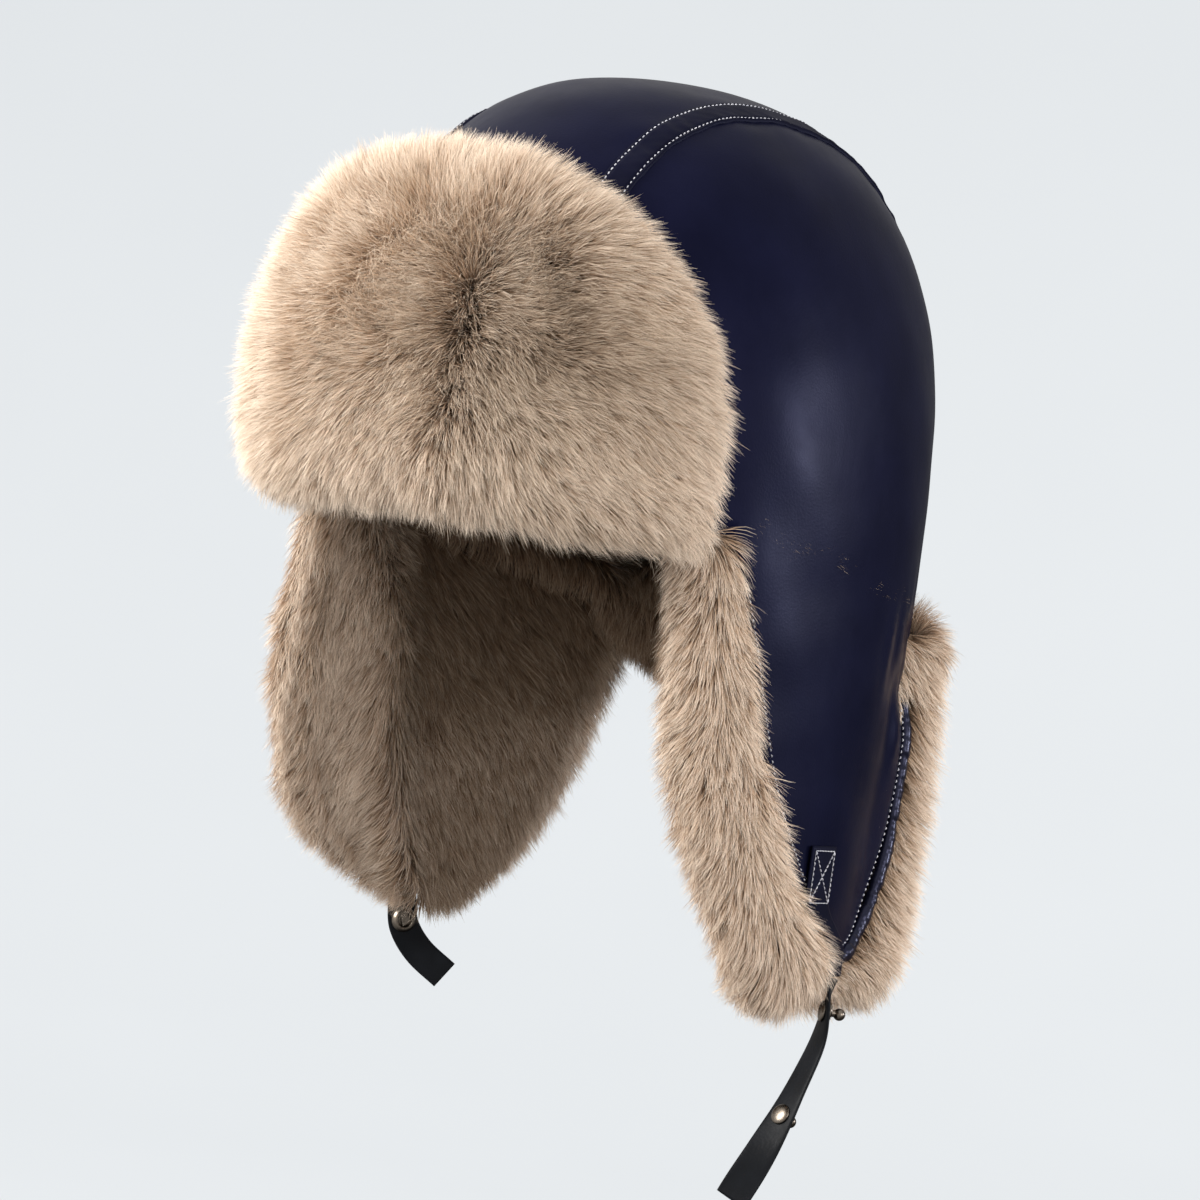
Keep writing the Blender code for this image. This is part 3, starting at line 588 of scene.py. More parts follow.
def make_materials():
    grain = (1150, None, 0.035, 0.5)
    return {
        "leather": patterned(
            "navy_leather", (38, 5, [(0.30, (0.0036, 0.0041, 0.0138)), (0.72, (0.0056, 0.0063, 0.0205))]),
            (160, 4, 0.28, 0.37), [(26, 3, 0.6, 0.5, (1.0, 1.0, 0.45)), grain, (2600, 2, 0.02, 0.5)],
            Specular_IOR_Level=0.07, Specular_Tint=(0.40, 0.43, 1.0, 1.0)),
        "hem": patterned(
            "hem_leather", (60, 5, [(0.30, (0.0032, 0.0036, 0.0085)), (0.72, (0.0048, 0.0052, 0.0125))]),
            (200, 4, 0.24, 0.36), [(150, 4, 0.5, 0.6), grain],
            Specular_IOR_Level=0.35, Specular_Tint=(0.6, 0.62, 1.0, 1.0)),
        "band": patterned(
            "seam_leather", (60, 5, [(0.30, (0.0032, 0.0036, 0.010)), (0.72, (0.0052, 0.0056, 0.0155))]),
            (200, 4, 0.42, 0.56), [(210, 4, 0.25, 0.5), grain],
            Specular_IOR_Level=0.08, Specular_Tint=(0.45, 0.48, 1.0, 1.0)),
        "strap": patterned(
            "strap_leather", (90, 5, [(0.30, (0.003, 0.0036, 0.005)), (0.75, (0.0065, 0.008, 0.011))]),
            (260, 4, 0.38, 0.58), [(120, 4, 0.22, 0.5), (950, None, 0.06, 0.6)], Specular_IOR_Level=0.12),
        "satin": patterned(
            "dark_satin", (45, 4, [(0.30, (0.004, 0.004, 0.006)), (0.75, (0.011, 0.010, 0.012))]),
            (120, 4, 0.36, 0.50),
            [(55, 4, 0.9, 0.5, (1.0, 1.0, 0.4)), (2200, 2, 0.03, 0.4, (1.0, 1.0, 5.0))],
            Sheen_Weight=0.08, Sheen_Roughness=0.4, Specular_IOR_Level=0.45),
        "thread": patterned(
            "pale_thread", (420, 3, [(0.30, (0.42, 0.43, 0.50)), (0.70, (0.80, 0.80, 0.84))]),
            bumps=[(5200, 2, 0.04, 0.6)], Roughness=0.55),
        "metal": patterned(
            "gunmetal", (260, 4, [(0.30, (0.10, 0.085, 0.07)), (0.62, (0.20, 0.17, 0.14)),
                                  (0.85, (0.34, 0.27, 0.20))]),
            (900, 4, 0.20, 0.38), [(1500, 3, 0.02, 0.4)], Metallic=1.0),
        "backing": patterned(
            "fur_backing", (300, 5, [(0.30, (0.085, 0.055, 0.034)), (0.75, (0.19, 0.135, 0.09))]),
            bumps=[(900, 4, 0.5, 0.8)], Roughness=0.95, Specular_IOR_Level=0.15),
        "pile": pile_material(
            "beige_fur",
            [(0.0, (0.11, 0.062, 0.034)), (0.50, (0.50, 0.345, 0.225)), (1.0, (0.97, 0.84, 0.69))],
            [(0.0, (0.26, 0.20, 0.15)), (0.35, (0.62, 0.57, 0.52)), (0.62, (0.94, 0.93, 0.92)),
             (1.0, (1.14, 1.14, 1.16))]),
    }


# --- leather ------------------------------------------------------------------------------

def seam_angle(z):
    """The angle round the head at which the seam passes a height."""
    rise = max(z, 0.0) / CROWN_HEIGHT
    shrink = (1.0 - rise ** DOME_POWER) ** (1.0 / DOME_POWER)
    return math.degrees(math.asin((SEAM_X / (HALF_WIDTH * shrink)) ** (PLAN_POWER / 2)))


def seam_station(degrees):
    """The station at which the seam passes an angle round the head."""
    reach = HALF_WIDTH * np.sin(np.radians(degrees)) ** (2 / PLAN_POWER)
    shrink = np.minimum(SEAM_X / reach, 1.0)
    return station_of(CROWN_HEIGHT * (1 - shrink ** DOME_POWER) ** (1 / DOME_POWER))


def side_columns():
    """Angles along a side panel, crowded where the seam runs steeply down front and back."""
    stations = np.linspace(station_of(4 * MM), station_of(135 * MM), 16)
    steep = [seam_angle(level(station)) for station in stations]
    front = steep + list(np.linspace(steep[-1], FOLD_FRONT_ANGLE, 9)[1:-1])
    across = list(np.linspace(FOLD_FRONT_ANGLE - 1.0, FOLD_REAR_ANGLE, 49))
    back = list(np.linspace(FOLD_REAR_ANGLE, 180.0 - steep[-1], 5)[1:])
    back += [180.0 - degrees for degrees in reversed(steep[:-1])] + [180.0 - seam_angle(0.0)]
    front = [degrees for degrees in front if degrees < across[0] - 0.5]
    return np.array(sorted(front) + across + [degrees for degrees in back if degrees > across[-1] + 0.5])


def edge_curl(reach, down):
    """How far the flap's leather rolls in at its free edge, over the last few millimetres."""
    near = np.clip(1 - reach / EDGE_CURL_WIDTH, 0.0, 1.0)
    return EDGE_CURL_DEPTH * (1 - np.sqrt(1 - near ** 2)) * np.clip(down * 14, 0.0, 1.0)


def flare(degrees, z):
    """How far the flap's rear edge stands out, at angles and heights on it."""
    return FLAP_FLARE * smooth_step(degrees, 114, 125) * smooth_step(-z, 40 * MM, 62 * MM)


def side_panel_points(hand):
    """The crown's side panel, from its lower edge up to the seam."""
    degrees = side_columns()[None]
    t = np.linspace(0, 1, 64)[:, None]
    start = station_of(crown_edge(degrees))
    end = np.maximum(seam_station(degrees), start + 0.02)
    points = head_points(degrees, level(start + (end - start) * t))
    points[..., 0] = np.maximum(points[..., 0], SEAM_X)
    return relax(points * (hand, 1, 1))


def flap_face_points(hand):
    """The flap's leather, whose columns carry on from those of the side panel."""
    columns = side_columns()
    inner = columns[(columns >= FOLD_FRONT_ANGLE - 1.01) & (columns <= FOLD_REAR_ANGLE + 0.01)]
    across = ((inner - inner[0]) / (inner[-1] - inner[0]))[None]
    down = (np.linspace(0, 1, 80) ** 0.92 * 0.99)[:, None]
    points = flap_points(hand, down, across)
    width = np.linalg.norm(points[:, -1] - points[:, 0], axis=-1)[:, None]
    reach = np.minimum(np.minimum(across, 1 - across) * width, (1 - down) * 90 * MM + 2 * MM)
    curl = edge_curl(reach, down)
    return relax(points, flare(flap_degrees(down, across), points[..., 2]) - curl)


def make_side_leather(side, hand, materials):
    """A side panel of the crown and the flap below it, shaded as one sheet over the fold."""
    panel = skin(f"{side}_side_leather", side_panel_points(hand), materials["leather"], "crown",
                 "navy_leather", f"crown_{side}_side_panel", flip=hand < 0)
    flap = skin(f"{side}_flap_leather_face", flap_face_points(hand), materials["leather"], None,
                "navy_leather", f"{side}_flap_leather", f"{side}_flap_wadding", flip=hand > 0)
    weld_shading(panel, flap)
    bend_over_fold(flap, hand)


def fold_drop(hand):
    """A point on a flap's fold plane and the direction straight down from the plane."""
    front, along, slope = fold_plane()
    down = unit(np.array([slope * along[0], slope * along[1], -1.0])) * (hand, 1, 1)
    return front * (hand, 1, 1), down


def bend_over_fold(piece, hand):
    """Bake a piece's placement into its mesh; the fold plane's point and downward direction are found but
    not used.
    """
    start, down = fold_drop(hand)
    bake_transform(piece)


def right_swing():
    """The turn about the right flap's fold that brings it to where it rests."""
    front, along, slope = fold_plane()
    across = np.array([along[1], -along[0], 0.0])
    reach = np.max(head_points(np.linspace(60, 140, 81), 0.0) @ across)
    pivot = front + across * (reach + FOLD_AXIS_OUT - front @ across) - (0, 0, FOLD_AXIS_DROP)
    pivot, axis = Vector(pivot * (-1, 1, 1)), Vector((-along[0], along[1], slope))
    turn = Matrix.Rotation(math.radians(RIGHT_FLAP_SPLAY), 4, axis)
    return Matrix.Translation(pivot) @ turn @ Matrix.Translation(-pivot)


def splay_right_flap():
    """Swing the right flap out to its rest, and move its strap along with the flap's tip."""
    swing = right_swing()
    top = Vector(head_points(-STRAP_ANGLE, STRAP_TOP, ANCHOR_INSET))
    shift = Matrix.Translation(swing @ top - top)
    start, down = fold_drop(-1)
    for piece in bpy.data.objects:
        if piece.name == "right_flap_leather_face":
            for vertex in piece.data.vertices:
                share = smooth_step((np.array(vertex.co) - start) @ down, 0.0, FOLD_DEPTH)
                vertex.co = vertex.co.lerp(swing @ vertex.co, share)
        elif piece.name in RIGHT_STRAP_PIECES:
            piece.data.transform(shift)
        elif piece.name.startswith(RIGHT_FLAP_PIECES):
            piece.data.transform(swing)


def over_path(count):
    """(side, station) arrays from the front edge, over the top, to the nape's edge."""
    turn = np.linspace(station_of(FRONT_EDGE) - np.pi / 2, np.pi / 2 - station_of(NAPE_EDGE), count)
    return np.where(turn < 0, -1.0, 1.0), np.pi / 2 - np.abs(turn)


def make_centre_leather(materials):
    """The middle panel of the crown, from the front edge over the top to the nape."""
    x = np.linspace(-SEAM_X, SEAM_X, 40)[None]
    side, station = over_path(150)
    points = relax(over_points(x, side[:, None], station[:, None]))
    skin("crown_centre_leather", points, materials["leather"], "crown", "navy_leather",
         "crown_centre_panel", "crown_wadding")


def band_height(w):
    """Section of the sewn-down seam: two folded edges, sunk a little under each stitch row."""
    edge = np.clip(1 - np.abs(w) ** 10, 0, 1) ** 0.5
    rows = 0.45 * np.exp(-((np.abs(w) - 0.74) / 0.10) ** 2)
    fold = 0.75 * np.exp(-((w - 0.92) / 0.10) ** 2)
    return (1.35 * edge - rows * edge + fold) * MM - 0.35 * MM


def make_seam_band(side, hand, materials):
    """The raised strip over a seam and its two rows of stitches."""
    w = np.linspace(-1, 1, 25)[None]
    way, station = over_path(260)
    wander = 0.35 * MM * ripple(np.stack([station * 0.1, way * station * 0.1, 0 * station], -1), 9 * MM, 21)
    x = SEAM_X + w * BAND_HALF_WIDTH + wander[:, None] * (w > 0.6)
    base = over_points(x, way[:, None], station[:, None]) * (hand, 1, 1)
    pucker = 0.16 * MM * ripple(base, 5 * MM, 22)
    points = relax(base, band_height(w) + pucker)
    skin(f"{side}_seam_band", points, materials["band"], "crown", "navy_leather",
         f"crown_{side}_seam_band", flip=hand < 0)
    rows = []
    way, station = over_path(700)
    for w in SEAM_STITCH_ROWS:
        path = over_points(SEAM_X + w * BAND_HALF_WIDTH, way, station) * (hand, 1, 1)
        rows.append(relax(path, band_height(w) + THREAD_LIFT))
    threads = stitch_mesh(f"{side}_seam_stitches", rows)
    link(f"{side}_seam_stitches", threads, materials["thread"], "crown")


def make_hem(side, hand, materials):
    """The rolled edge round a flap: a soft creased tube that stands out further behind."""
    count = 420
    place = np.linspace(0.10, 0.955, count)
    behind = smooth_step(place, *REAR_HALF)
    degrees, z = flap_outline(place, 0.6 + 1.2 * behind)
    path = head_points(hand * degrees, z, (2.9 - 2.5 * behind) * MM - flare(degrees, z))
    crease = ripple(path, 7 * MM, 31) + 0.6 * ripple(path, 3 * MM, 32)
    gather = np.abs(ripple(path, 24 * MM, 33)) < 0.12
    wide = (2.5 + 0.5 * behind + 0.40 * crease - 0.8 * gather) * MM
    deep = (2.1 + 0.5 * behind + 0.35 * crease) * MM
    points = tube_points(path, outward(path), wide, deep)
    step = np.arange(count)
    taper = np.clip(np.minimum(step, count - 1 - step) / 10, 0.15, 1)[:, None, None]
    points = path[:, None] + (points - path[:, None]) * taper
    skin(f"{side}_flap_rolled_hem", points, materials["hem"], f"{side}_flap", "navy_leather",
         f"{side}_flap_hem", flip=hand < 0, ring=True, capped=True)


def make_flap_stitches(side, hand, materials):
    """The row of topstitching inside a flap's hem."""
    place = np.linspace(0.06, 0.94, 900)
    degrees, z = flap_outline(place, -5.4 + 2.2 * smooth_step(place, *REAR_HALF))
    row = relax(head_points(hand * degrees, z), flare(degrees, z) + THREAD_LIFT)
    threads = stitch_mesh(f"{side}_flap_topstitch", [row], length=1.15 * MM)
    link(f"{side}_flap_topstitch", threads, materials["thread"], f"{side}_flap")


def make_nape_hem(materials):
    """The rolled edge of the crown behind the flaps."""
    degrees = np.linspace(FOLD_REAR_ANGLE + 2, 360 - FOLD_REAR_ANGLE - 2, 260)
    turn = np.where(degrees > 180, 360 - degrees, degrees)
    path = head_points(degrees, nape_height(turn) - 1.5 * MM, 2.6 * MM)
    crease = ripple(path, 8 * MM, 35)
    wide, deep = (2.6 + 0.3 * crease) * MM, (2.2 + 0.25 * crease) * MM
    skin("nape_rolled_hem", tube_points(path, outward(path), wide, deep), materials["leather"],
         "crown", "navy_leather", "nape_hem", ring=True, capped=True)


def make_lining(materials):
    """The satin lining and the sweatband round the head opening."""
    degrees = np.linspace(-180, 180, 121)[None, :-1]
    edge = np.where(np.abs(degrees) < FOLD_FRONT_ANGLE, FRONT_EDGE, 12 * MM)
    start = station_of(edge)
    t = np.linspace(0, 0.995, 56)[:, None]
    base = head_points(degrees, level(start + (np.pi / 2 - start) * t, LINING_INSET), LINING_INSET)
    points = base - outward(base) * (0.8 * MM * (1 + ripple(base, 40 * MM, 41)))[..., None]
    skin("satin_lining", points, materials["satin"], "crown", "dark_satin", "crown_lining",
         ring=True, capped=True, flip=True)
    t = np.linspace(0, 2 * np.pi, 16, endpoint=False)[None]
    degrees = np.linspace(-180, 180, 181)[:-1, None]
    z = (27 + 13 * power(np.cos(t), 0.7)) * MM
    ring = head_points(degrees, z, (13.0 + 0.9 * np.sin(t)) * MM)
    ring = ring + outward(ring) * (0.35 * MM * ripple(ring, 12 * MM, 42))[..., None]
    skin("satin_sweatband", np.concatenate([ring, ring[:1]]), materials["satin"], "crown", "dark_satin",
         "sweatband", ring=True)


# --- pile ---------------------------------------------------------------------------------

class Pad:
    """A stuffed backing as a grid of rings, with the way its pile is combed.

    flow is the direction the pile is brushed, tilt its lean away from straight up, length
    its length, thick how densely it grows and shade how light it is (0 to 1), lowered
    where shade is painted, all given at each point of the grid.
    """

    def __init__(self, points, flow, tilt, length, thick, shade, flip):
        wrapped = np.concatenate([points, points[:, :1]], axis=1)
        rows = np.gradient(wrapped, axis=0)
        columns = np.gradient(wrapped, axis=1)
        columns[:, 0] = columns[:, -1] = (wrapped[:, 1] - wrapped[:, -2]) / 2
        normals = unit(np.cross(rows, columns))
        self.normals = -normals if flip else normals
        self.flip = flip
        self.points, self.open_points = wrapped, points
        self.flow, self.tilt, self.length, self.thick, self.shade = (
            np.concatenate([field, field[:, :1]], axis=1) for field in (flow, tilt, length, thick, shade)
        )

    def cell_areas(self):
        """The area of each cell of the grid, times how densely it grows."""
        a = self.points[1:, 1:] - self.points[:-1, :-1]
        b = self.points[1:, :-1] - self.points[:-1, 1:]
        return np.linalg.norm(np.cross(a, b), axis=-1) / 2 * self.thick[:-1, :-1]

    def sample(self, count, rng):
        """Roots scattered evenly over the pad: position, normal, flow, tilt, length and shade."""
        cell = self.cell_areas()
        total = np.cumsum(cell.ravel())
        chosen = np.searchsorted(total, rng.uniform(0, total[-1], count))
        i, j = np.divmod(chosen, cell.shape[1])
        f, g = rng.uniform(size=(2, count, 1))

        def at(field):
            field = field if field.ndim == 3 else field[..., None]
            top = field[i, j] * (1 - g) + field[i, j + 1] * g
            return top * (1 - f) + (field[i + 1, j] * (1 - g) + field[i + 1, j + 1] * g) * f

        fields = (self.points, self.normals, self.flow, self.tilt, self.length, self.shade)
        return [at(field) for field in fields]


def strand_clumps(roots, rng):
    """For each strand, the number of the nearest clump centre."""
    centres = rng.choice(len(roots), max(len(roots) // STRANDS_PER_CLUMP, 1), replace=False)
    tree = kdtree.KDTree(len(centres))
    for number, centre in enumerate(centres):
        tree.insert(roots[centre], number)
    tree.balance()
    return centres, np.array([tree.find(root)[1] for root in roots])


def strand_curves(roots, normals, flow, tilt, length, rng):
    """Points along every strand, leaning with the flow and drawn together in clumps."""
    count = len(roots)
    centres, clump = strand_clumps(roots, rng)
    clump_lean = rng.normal(0, 0.11, (len(centres), 3))[clump]
    field = np.stack([ripple(roots, 26 * MM, 51 + k) for k in range(3)], axis=-1) * 0.20
    loose = 1 + 1.6 * np.exp(-(tilt / 18) ** 2)
    lean = (clump_lean + field + rng.normal(0, 0.15, (count, 3))) * loose
    flow = unit(flow - normals * dot(flow, normals))
    length = length * rng.uniform(0.80, 1.08, (count, 1))
    length = length * (1 + 0.05 * rng.normal(size=(len(centres), 1))[clump])
    points, here = [roots], roots
    for step in range(STRAND_SEGMENTS):
        t = (step + 0.5) / STRAND_SEGMENTS
        angle = np.radians(tilt) * (0.62 + 0.55 * t)
        run = unit(normals * np.cos(angle) + flow * np.sin(angle) + lean * (0.6 + 0.8 * t) - UP * 0.10 * t)
        here = here + run * length / STRAND_SEGMENTS
        points.append(here)
    curves = np.stack(points, axis=1)
    pull = (np.linspace(0, 1, STRAND_SEGMENTS + 1) ** 1.5 * 0.34)[None, :, None]
    return curves - (curves - curves[centres][clump]) * pull, clump


def pile_mesh(name, curves, normals, rng, clump, base_shade):
    """Thin tapered ribbons along the curves, lit as part of the surface they cover."""
    count, rings = curves.shape[:2]
    run = unit(np.gradient(curves, axis=1))
    face = unit(normals + 0.75 * unit(rng.normal(size=(count, 3))))[:, None]
    across = unit(np.cross(run, face))
    out = np.cross(across, run)
    t = np.linspace(0, 1, rings)
    taper = (0.08 + 0.92 * (1 - t ** 1.4))[:, None]
    half = STRAND_WIDTH / 2 * rng.uniform(0.7, 1.25, (count, 1, 1)) * taper
    points = np.stack([curves - across * half, curves + across * half], axis=2)
    facing = 1.3 * np.clip(dot(out, normals[:, None]), 0, 1) * normals[:, None] + out
    light = np.stack([facing - 0.3 * across, facing + 0.3 * across], axis=2)
    one = grid_faces(rings, 2).reshape(-1, 4)
    faces = (one[None] + (np.arange(count) * rings * 2)[:, None, None]).reshape(-1, 4)
    mesh = bpy.data.meshes.new(name)
    mesh.vertices.add(count * rings * 2)
    mesh.vertices.foreach_set("co", points.astype(np.float32).ravel())
    mesh.loops.add(faces.size)
    mesh.loops.foreach_set("vertex_index", faces.astype(np.int32).ravel())
    mesh.polygons.add(len(faces))
    mesh.polygons.foreach_set("loop_start", np.arange(0, faces.size, 4, dtype=np.int32))
    tuft = rng.normal(size=clump.max() + 1)[clump]
    shade = np.clip(base_shade[:, 0] + 0.12 * rng.normal(size=count) + 0.10 * tuft, 0.02, 0.98)
    uv = np.empty((count, rings, 2, 2), np.float32)
    uv[..., 0] = shade[:, None, None] + np.array([-0.01, 0.01])
    uv[..., 1] = np.clip(t, 0.02, 0.98)[None, :, None]
    layer = mesh.uv_layers.new(name=STRAND_UV)
    layer.data.foreach_set("uv", uv.reshape(-1, 2)[faces.ravel()].ravel())
    mesh.update(calc_edges=True)
    mesh.validate()
    mesh.shade_smooth()
    mesh.normals_split_custom_set_from_vertices(unit(light).reshape(-1, 3).tolist())
    return mesh


def covering(curves, centre, across, out, half):
    """Which strands pass over the outer face of a strip."""
    reach = 16 * MM
    low, high = centre.min(axis=0) - reach, centre.max(axis=0) + reach
    near = np.nonzero(np.all((curves[:, -1] > low) & (curves[:, -1] < high), axis=1))[0]
    over = np.zeros(len(curves), bool)
    for step in range(1, curves.shape[1]):
        spots = curves[near, step]
        nearest = np.argmin(np.sum((spots[:, None] - centre) ** 2, axis=-1), axis=1)
        away = spots - centre[nearest]
        over[near] |= ((np.abs(dot(away, across[nearest])) < half) & (dot(away, out[nearest]) > 0))[:, 0]
    return over


def add_fur(stem, pad, body, materials, density, seed, strips=()):
    """A stuffed pad and its pile, density strands to a square millimetre, off the strips."""
    piece = skin(f"{stem}_fur_pad", pad.open_points, materials["backing"], body, "beige_fur",
                 f"{stem}_fur", flip=pad.flip, ring=True, capped=True)
    count = int(np.sum(pad.cell_areas()) / MM ** 2 * density)
    rng = np.random.default_rng(seed)
    roots, normals, flow, tilt, length, shade = pad.sample(count, rng)
    curves, clump = strand_curves(roots, normals, flow, tilt, length, rng)
    kept = ~np.any([np.zeros(count, bool)] + [covering(curves, *strip) for strip in strips], axis=0)
    parts = math.ceil(np.sum(kept) / STRANDS_PER_PIECE)
    for part, chosen in enumerate(np.array_split(np.nonzero(kept)[0], parts)):
        name = f"{stem}_pile_{part + 1}"
        mesh = pile_mesh(name, curves[chosen], normals[chosen], rng, clump[chosen], shade[chosen])
        link(name, mesh, materials["pile"], body)


def make_brim_leather(materials):
    """The brim's leather back, which faces the crown."""
    t = np.linspace(0, 2 * np.pi, 44, endpoint=False)[None]
    across = np.linspace(-1, 1, 70)[:, None]
    up = 0.5 - 0.5 * power(np.cos(t), 0.6)
    points = brim_points(across, up, (-3.5 + 0.7 * np.sin(t)) * MM, 2.5 * MM)
    points = points + outward(points) * (0.3 * MM * ripple(points, 30 * MM, 61))[..., None]
    skin("brim_leather", points, materials["leather"], "brim", "navy_leather",
         "brim_leather_back", "brim_stiffener", ring=True, capped=True)


def brim_whorl(degrees, z):
    """How much a spot belongs to the patch that the brim's pile parts round, where its pile gets painted
    shade.
    """
    aside, above = (degrees - WHORL_DEGREES) / WHORL_WIDTH, (z / MM - WHORL_HEIGHT) / WHORL_DEPTH
    return np.exp(-aside ** 2 - above ** 2)


def brim_combing(points, degrees, whorl):
    """The way the brim's pile is brushed, out from its middle, and how far it leans."""
    lateral = BRIM_COMB[0] * np.sign(degrees) * (1 - np.exp(-(degrees / 27) ** 2))
    above = points[..., 2] / MM - BRIM_COMB_CENTRE
    vertical = BRIM_COMB[1] * np.sign(above) * (1 - np.exp(-(above / np.where(above > 0, 20, 62)) ** 2))
    lateral = lateral + WHORL_SWIRL * whorl * ripple(points, 26 * MM, 63)
    vertical = vertical + WHORL_SWIRL * whorl * ripple(points, 26 * MM, 64)
    flow = round_the_head(points) * lateral[..., None] + UP * vertical[..., None]
    return flow, np.minimum(np.hypot(lateral, vertical), MOST_LEAN)


def make_brim_fur(materials):
    """The brim's puffed pad and the pile on its front."""
    across = np.sin(np.linspace(-np.pi / 2, np.pi / 2, 72))[:, None]
    t = np.linspace(0, 2 * np.pi, 56, endpoint=False)[None]
    up = 0.5 - 0.5 * power(np.cos(t), 0.62)
    puff = np.clip(np.sin(t), 0, 1) ** 0.75 * (1 - np.abs(across) ** 4) ** 0.5
    inset = BRIM_BACK + 0.6 * MM * np.clip(-np.sin(t), 0, 1) - BRIM_PAD * puff
    points = brim_points(across, up, inset)
    z = points[..., 2]
    degrees = np.broadcast_to(BRIM_HALF_ANGLES[0] * across, z.shape)
    whorl = brim_whorl(degrees, z)
    flow, tilt = brim_combing(points, degrees, whorl)
    length = BRIM_PILE_LENGTH * (1 + 0.08 * ripple(points, 50 * MM, 62))
    thick = (np.sin(t) > -0.35) * (1 + 0.5 * whorl)
    # Painted shade: the pile is painted darker over the whorl, standing in for the shadowed roots seen
    # end-on there.
    pad = Pad(points, flow, tilt, length, thick, 0.80 - 0.48 * whorl, flip=False)
    add_fur("brim", pad, "brim", materials, density=4.2, seed=101)


def roll_ring(sizes, opened, tuck, turn):
    """Growth and inset (a row for each place along it) round a roll that tucks in at its ends."""
    root, along, tip = (np.array(size, float) for size in sizes)
    size = root + (along - root) * opened[..., None]
    growth, inset, wide, high = np.moveaxis(size + (tip - size) * tuck[..., None], -1, 0)
    return growth + wide * np.cos(turn), inset + high * np.sin(turn)


def flap_section(s, hand):
    """The ring round a flap's pad at each s: across, growth, inset, kind and turn.

    It runs over the face against the head, round a fat roll outside the rear edge, back
    under the leather, and round the roll outside the front edge.  Turn is the angle round a
    roll.
    """
    face = np.linspace(0.03, 0.97, 22)
    hidden = np.linspace(0.97, 0.03, 10)
    turn = np.radians(np.linspace(75, -165, 19))
    counts = len(face), len(turn), len(hidden), len(turn)
    kind = np.repeat([FACE, REAR, HIDDEN, FRONT], counts)
    across = np.concatenate([face, np.ones(len(turn)), hidden, np.zeros(len(turn))])
    turns = np.concatenate([0 * face, turn, 0 * hidden, turn[::-1]])
    rolls = (REAR_ROLL, FRONT_ROLL) if hand > 0 else (RIGHT_REAR_ROLL, RIGHT_FRONT_ROLL)
    tuck = smooth_step(s, *TUCK[hand])
    rear = roll_ring(rolls[0], smooth_step(s, -0.05, 0.08), tuck, turn)
    front = roll_ring(rolls[1], smooth_step(s, -0.02, 0.42), tuck, turn[::-1])
    ridge = 6.0 * np.exp(-((face - 0.10) / 0.09) ** 2)
    full = (0.35 + 0.65 * smooth_step(s, 0.0, 0.35)) * (1 - s ** 10) ** 0.5
    dome = PAD_BACK + (11.0 + ridge - 5.0 * np.abs(2 * face - 1) ** 5) * full
    flat = np.ones((len(s), len(hidden)))
    growth = np.concatenate([np.full(dome.shape, 6.0), rear[0], 2.0 * flat, front[0]], axis=1)
    inset = np.concatenate([dome, rear[1], PAD_BACK * flat, front[1]], axis=1)
    return across[None], growth, inset * MM, np.broadcast_to(kind, growth.shape), turns[None]


def strip_of(centre, out, half):
    """A strip that pile keeps off: its centre line, its two axes and its half width."""
    run = unit(np.gradient(centre, axis=0))
    across = unit(np.cross(run, out))
    return centre, across, np.cross(across, run), half


def strap_strip(hand):
    """The strip that a strap takes up, from its box of stitches to just past the tip."""
    z = np.linspace(ANCHOR_TOP - 18 * MM, STRAP_TOP, 20)
    sewn = head_points(hand * anchor_angle(z), z, ANCHOR_INSET)
    route = LONG_STRAP_ROUTE if hand > 0 else SHORT_STRAP_ROUTE
    hanging = strap_frames(hand, route, np.linspace(0.03, 0.30, 12))[0]
    centre = np.concatenate([sewn, hanging])
    return strip_of(centre, outward(centre), 8.5 * MM)


def hem_strip(hand):
    """The strip of a flap's rear edge that its hem and topstitching take up."""
    degrees, z = flap_outline(np.linspace(0.55, 0.88, 50), -3.5)
    centre = head_points(hand * degrees, z, 1.5 * MM - flare(degrees, z))
    return strip_of(centre, outward(centre), 7.0 * MM)


def make_flap_fur(side, hand, materials):
    """A flap's pad, with its rolls outside both edges, and its pile."""
    s = (np.linspace(0, 1, 72) * 0.985)[:, None]
    across, growth, inset, kind, turn = flap_section(s, hand)
    points = flap_points(hand, s, across, inset, growth)
    sweep = np.select([kind == FACE, kind == REAR, kind == FRONT],
                      [np.where(across < 0.12, -0.9, 0.5) * np.ones_like(s),
                       0.55 - 0.35 * np.cos(2 * turn), -0.8 * np.cos(turn)], 0)
    fall = -1 + 0.9 * (1 - smooth_step(s, 0.0, 0.06)) * (kind == FRONT)
    lift = np.where(kind == REAR, 0.3, 0.0)
    rearward = round_the_head(points) * hand
    flow = fall[..., None] * UP + rearward * sweep[..., None] + outward(points) * lift[..., None]
    tilt = np.where(kind == REAR, 54.0, 63.0)
    length = FLAP_PILE_LENGTH * (1 + 0.10 * ripple(points, 40 * MM, 71))
    length = length * (1 - 0.35 * smooth_step(s, 0.82, 0.95) * np.sin(np.clip(-turn, 0, np.pi)))
    thick = np.where(kind == HIDDEN, 0.0, 1.0)
    # Painted shade: the pile on the face against the head is painted darker, darkest up by the fold; the
    # rolls are set lighter, partly as painted light on their lit fronts.
    painted_shade = (kind == FACE) * smooth_step(across, 0.10, 0.20)
    shade = 0.90 - 0.67 * painted_shade - 0.14 * painted_shade * (1 - smooth_step(s, 0.05, 0.30))
    pad = Pad(points, flow, tilt, length, thick, shade, flip=hand > 0)
    strips = [strap_strip(hand), hem_strip(hand)] if hand > 0 else [strap_strip(hand)]
    add_fur(f"{side}_flap", pad, f"{side}_flap", materials, density=3.2, seed=103 + hand, strips=strips)


def behind_flaps(turn):
    """How far an angle is past the flap's rear: 0 beside the flap, 1 behind it."""
    return smooth_step(turn, FOLD_REAR_ANGLE - 3, FOLD_REAR_ANGLE + 5)


